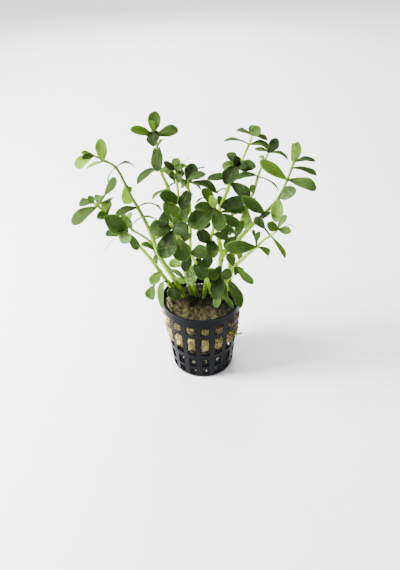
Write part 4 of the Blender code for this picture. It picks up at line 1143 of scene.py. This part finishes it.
def makeStemCurve(name, shoot, route):
    form = shootForm
    foot = route[0] - Vector((0, 0, form["rooted"]))
    knots = [leaf[0] for leaf in shoot["leaves"]]
    count = (len(route) - 1) * form["samples"] + 1
    curve = bpy.data.curves.new(name, "CURVE")
    curve.dimensions = "3D"
    for half, places in strands.get(name, ()):
        points = [seenAt(place, shoot["stem"][0][2]) for place in places]
        steps = (len(points) - 1) * form["samples"]
        strand = curve.splines.new("POLY")
        strand.points.add(steps)
        for i, spot in enumerate(strand.points):
            spot.co = (*alongRoute(points, i / form["samples"]), 1)
            spot.radius = half * mm * (1 - 0.5 * i / steps)
    spline = curve.splines.new("POLY")
    spline.points.add(count)
    thick, thin = shoot["radius"]
    spline.points[0].co = (*foot, 1)
    spline.points[0].radius = thick * mm
    for i in range(count):
        place = i / form["samples"]
        share = i / (count - 1)
        swell = max(math.exp(-((place - knot) / 0.13) ** 2) for knot in knots)
        tip = math.sqrt(max(1 - max(place - (len(route) - 1.35), 0) / 0.36, 0.02))
        spot = spline.points[i + 1]
        spot.co = (*alongRoute(route, place), 1)
        spot.radius = (thick + (thin - thick) * share) * (0.92 + form["knot"] * swell) * mm * tip
    return curve


def makeLeafPlaces(name, shoot, route, rng):  # one vertex a leaf, with the leaf's sizes as attributes
    sheen = sheenLeaves.get(name, {})
    mesh = bpy.data.meshes.new(name + "Leaves")
    mesh.vertices.add(len(shoot["leaves"]))
    footBack = shoot["stem"][0][2]
    for i, (place, tipPlace, width, arch, turn, *stalk) in enumerate(shoot["leaves"]):
        base = alongRoute(route, place)
        tip = seenAt(tipPlace, footBack)
        facing = leafFacing(base, tip, math.radians(turn))
        base = base - (tip - base).normalized() * shootForm["sunk"]
        storeLeaf(mesh, i, {
            "leafBase": base, "leafReach": tip - base, "leafFacing": facing,
            "leafWidth": width * mm, "leafStalk": stalk[0] if stalk else 0.0, "leafArch": arch,
            "leafCup": rng.uniform(0.12, 0.42), "leafWave": rng.uniform(0, math.tau),
            "leafSway": rng.uniform(-0.035, 0.035), "leafGlow": shoot["glow"][i],
            "leafSheen": sheen.get(i, 0.0)})
    return mesh


def storeLeaf(mesh, i, values):
    for name, value in values.items():
        kind, field = ("FLOAT_VECTOR", "vector") if isinstance(value, Vector) else ("FLOAT", "value")
        attribute = mesh.attributes.get(name) or mesh.attributes.new(name, kind, "POINT")
        setattr(attribute.data[i], field, value)


def makeShoots():
    form = shootForm
    rng = random.Random(form["seed"])
    tree = makeShootTree()
    stemMaterial = makeStemMaterial()
    bladeMaterial = makeLeafMaterial()
    for name, shoot in shoots.items():
        route = [seenAt(place, shoot["stem"][0][2]) for place in shoot["stem"]]
        places = addPiece(name + "_leaf_places", makeLeafPlaces(name, shoot, route, rng))
        guide = bpy.data.objects.new(name + "_guide", makeStemCurve(name, shoot, route))
        bpy.context.scene.collection.objects.link(guide)
        mesh = grown(guide, tree, {
            "Leaf places": places, "Stem sides": form["sides"], "Leaf sides": form["leafSides"],
            "Leaf rings": form["leafRings"], "Leaf thickness": form["leafThickness"],
            "Stalk width": form["stalkWidth"], "Stem material": stemMaterial, "Leaf material": bladeMaterial,
            **dict(zip(("Foot glow", "Middle glow", "Tip glow"), shoot["stemGlow"]))})
        bpy.data.objects.remove(guide)
        bpy.data.objects.remove(places)
        finished(addPiece(name + "_grown", mesh), [name])


# The floor, the light and the camera.

studio = {
    "floor": 1.6,
    "floorColour": (0.95, 0.95, 0.95, 1),
    "skyTowards": (-0.45, 0.45, 0.77),  # where the sky is brightest
    "skyDim": (0.10, 0.105, 0.11, 1),
    "skyBright": (1.9, 1.9, 1.9, 1),
    "lens": 634.0 * 36 / 570,  # the picture's long side is 570 pixels
    "look": (math.radians(35.7), math.radians(0.12), math.radians(1.64)),  # down, aside, roll
    "lightsAim": Vector((0, 0, 0.08)),
    "lights": (  # name, place, size, power
        ("keyLight", (-0.62, -0.06, 0.60), 0.30, 34.0),
        ("backLight", (-0.1, 0.75, 0.5), 0.5, 10.0),
    ),
}


def makeStudio():
    shape = bmesh.new()
    bmesh.ops.create_grid(shape, x_segments=1, y_segments=1, size=studio["floor"])
    mesh = bpy.data.meshes.new("floor")
    shape.to_mesh(mesh)
    shape.free()
    material, tree, shader = newMaterial("paleFloor")
    feed(tree, shader, {"Base Color": studio["floorColour"], "Roughness": 0.9})
    floor = addPiece("floor", mesh, material)
    world = bpy.data.worlds.new("studioWorld")
    world.use_nodes = True
    tree = world.node_tree
    way = addNode(tree, "ShaderNodeTexCoord").outputs["Generated"]
    share = mapped(tree, doVector(tree, "DOT_PRODUCT", way, studio["skyTowards"]), -0.35, 0.9)
    sky = mixed(tree, share, studio["skyDim"], studio["skyBright"])
    tree.links.new(sky, tree.nodes["Background"].inputs["Color"])
    bpy.context.scene.world = world
    for name, place, size, power in studio["lights"]:
        lamp = bpy.data.lights.new(name, "AREA")
        lamp.size = size
        lamp.energy = power
        light = bpy.data.objects.new(name, lamp)
        light.location = place
        light.rotation_euler = (Vector(place) - studio["lightsAim"]).to_track_quat("Z", "Y").to_euler()
        bpy.context.scene.collection.objects.link(light)


def makeCamera():
    down, aside, roll = studio["look"]
    lens = bpy.data.cameras.new("camera")
    lens.sensor_width = 36
    lens.sensor_fit = "AUTO"
    lens.lens = studio["lens"]
    lens.clip_start = 0.01
    camera = bpy.data.objects.new("camera", lens)
    camera.location = shootForm["eye"]
    tilt = Matrix.Rotation(math.pi / 2 - down, 4, "X")
    turn = Matrix.Rotation(aside, 4, "Z") @ tilt @ Matrix.Rotation(-roll, 4, "Z")
    camera.rotation_euler = turn.to_euler()
    bpy.context.scene.collection.objects.link(camera)
    bpy.context.scene.camera = camera


makeCamera()
makeStudio()
print("studio and camera ready")
makeNetPot()
print("net pot made")
makeRockwool()
print("rockwool made")
makeShoots()
print("shoots grown")
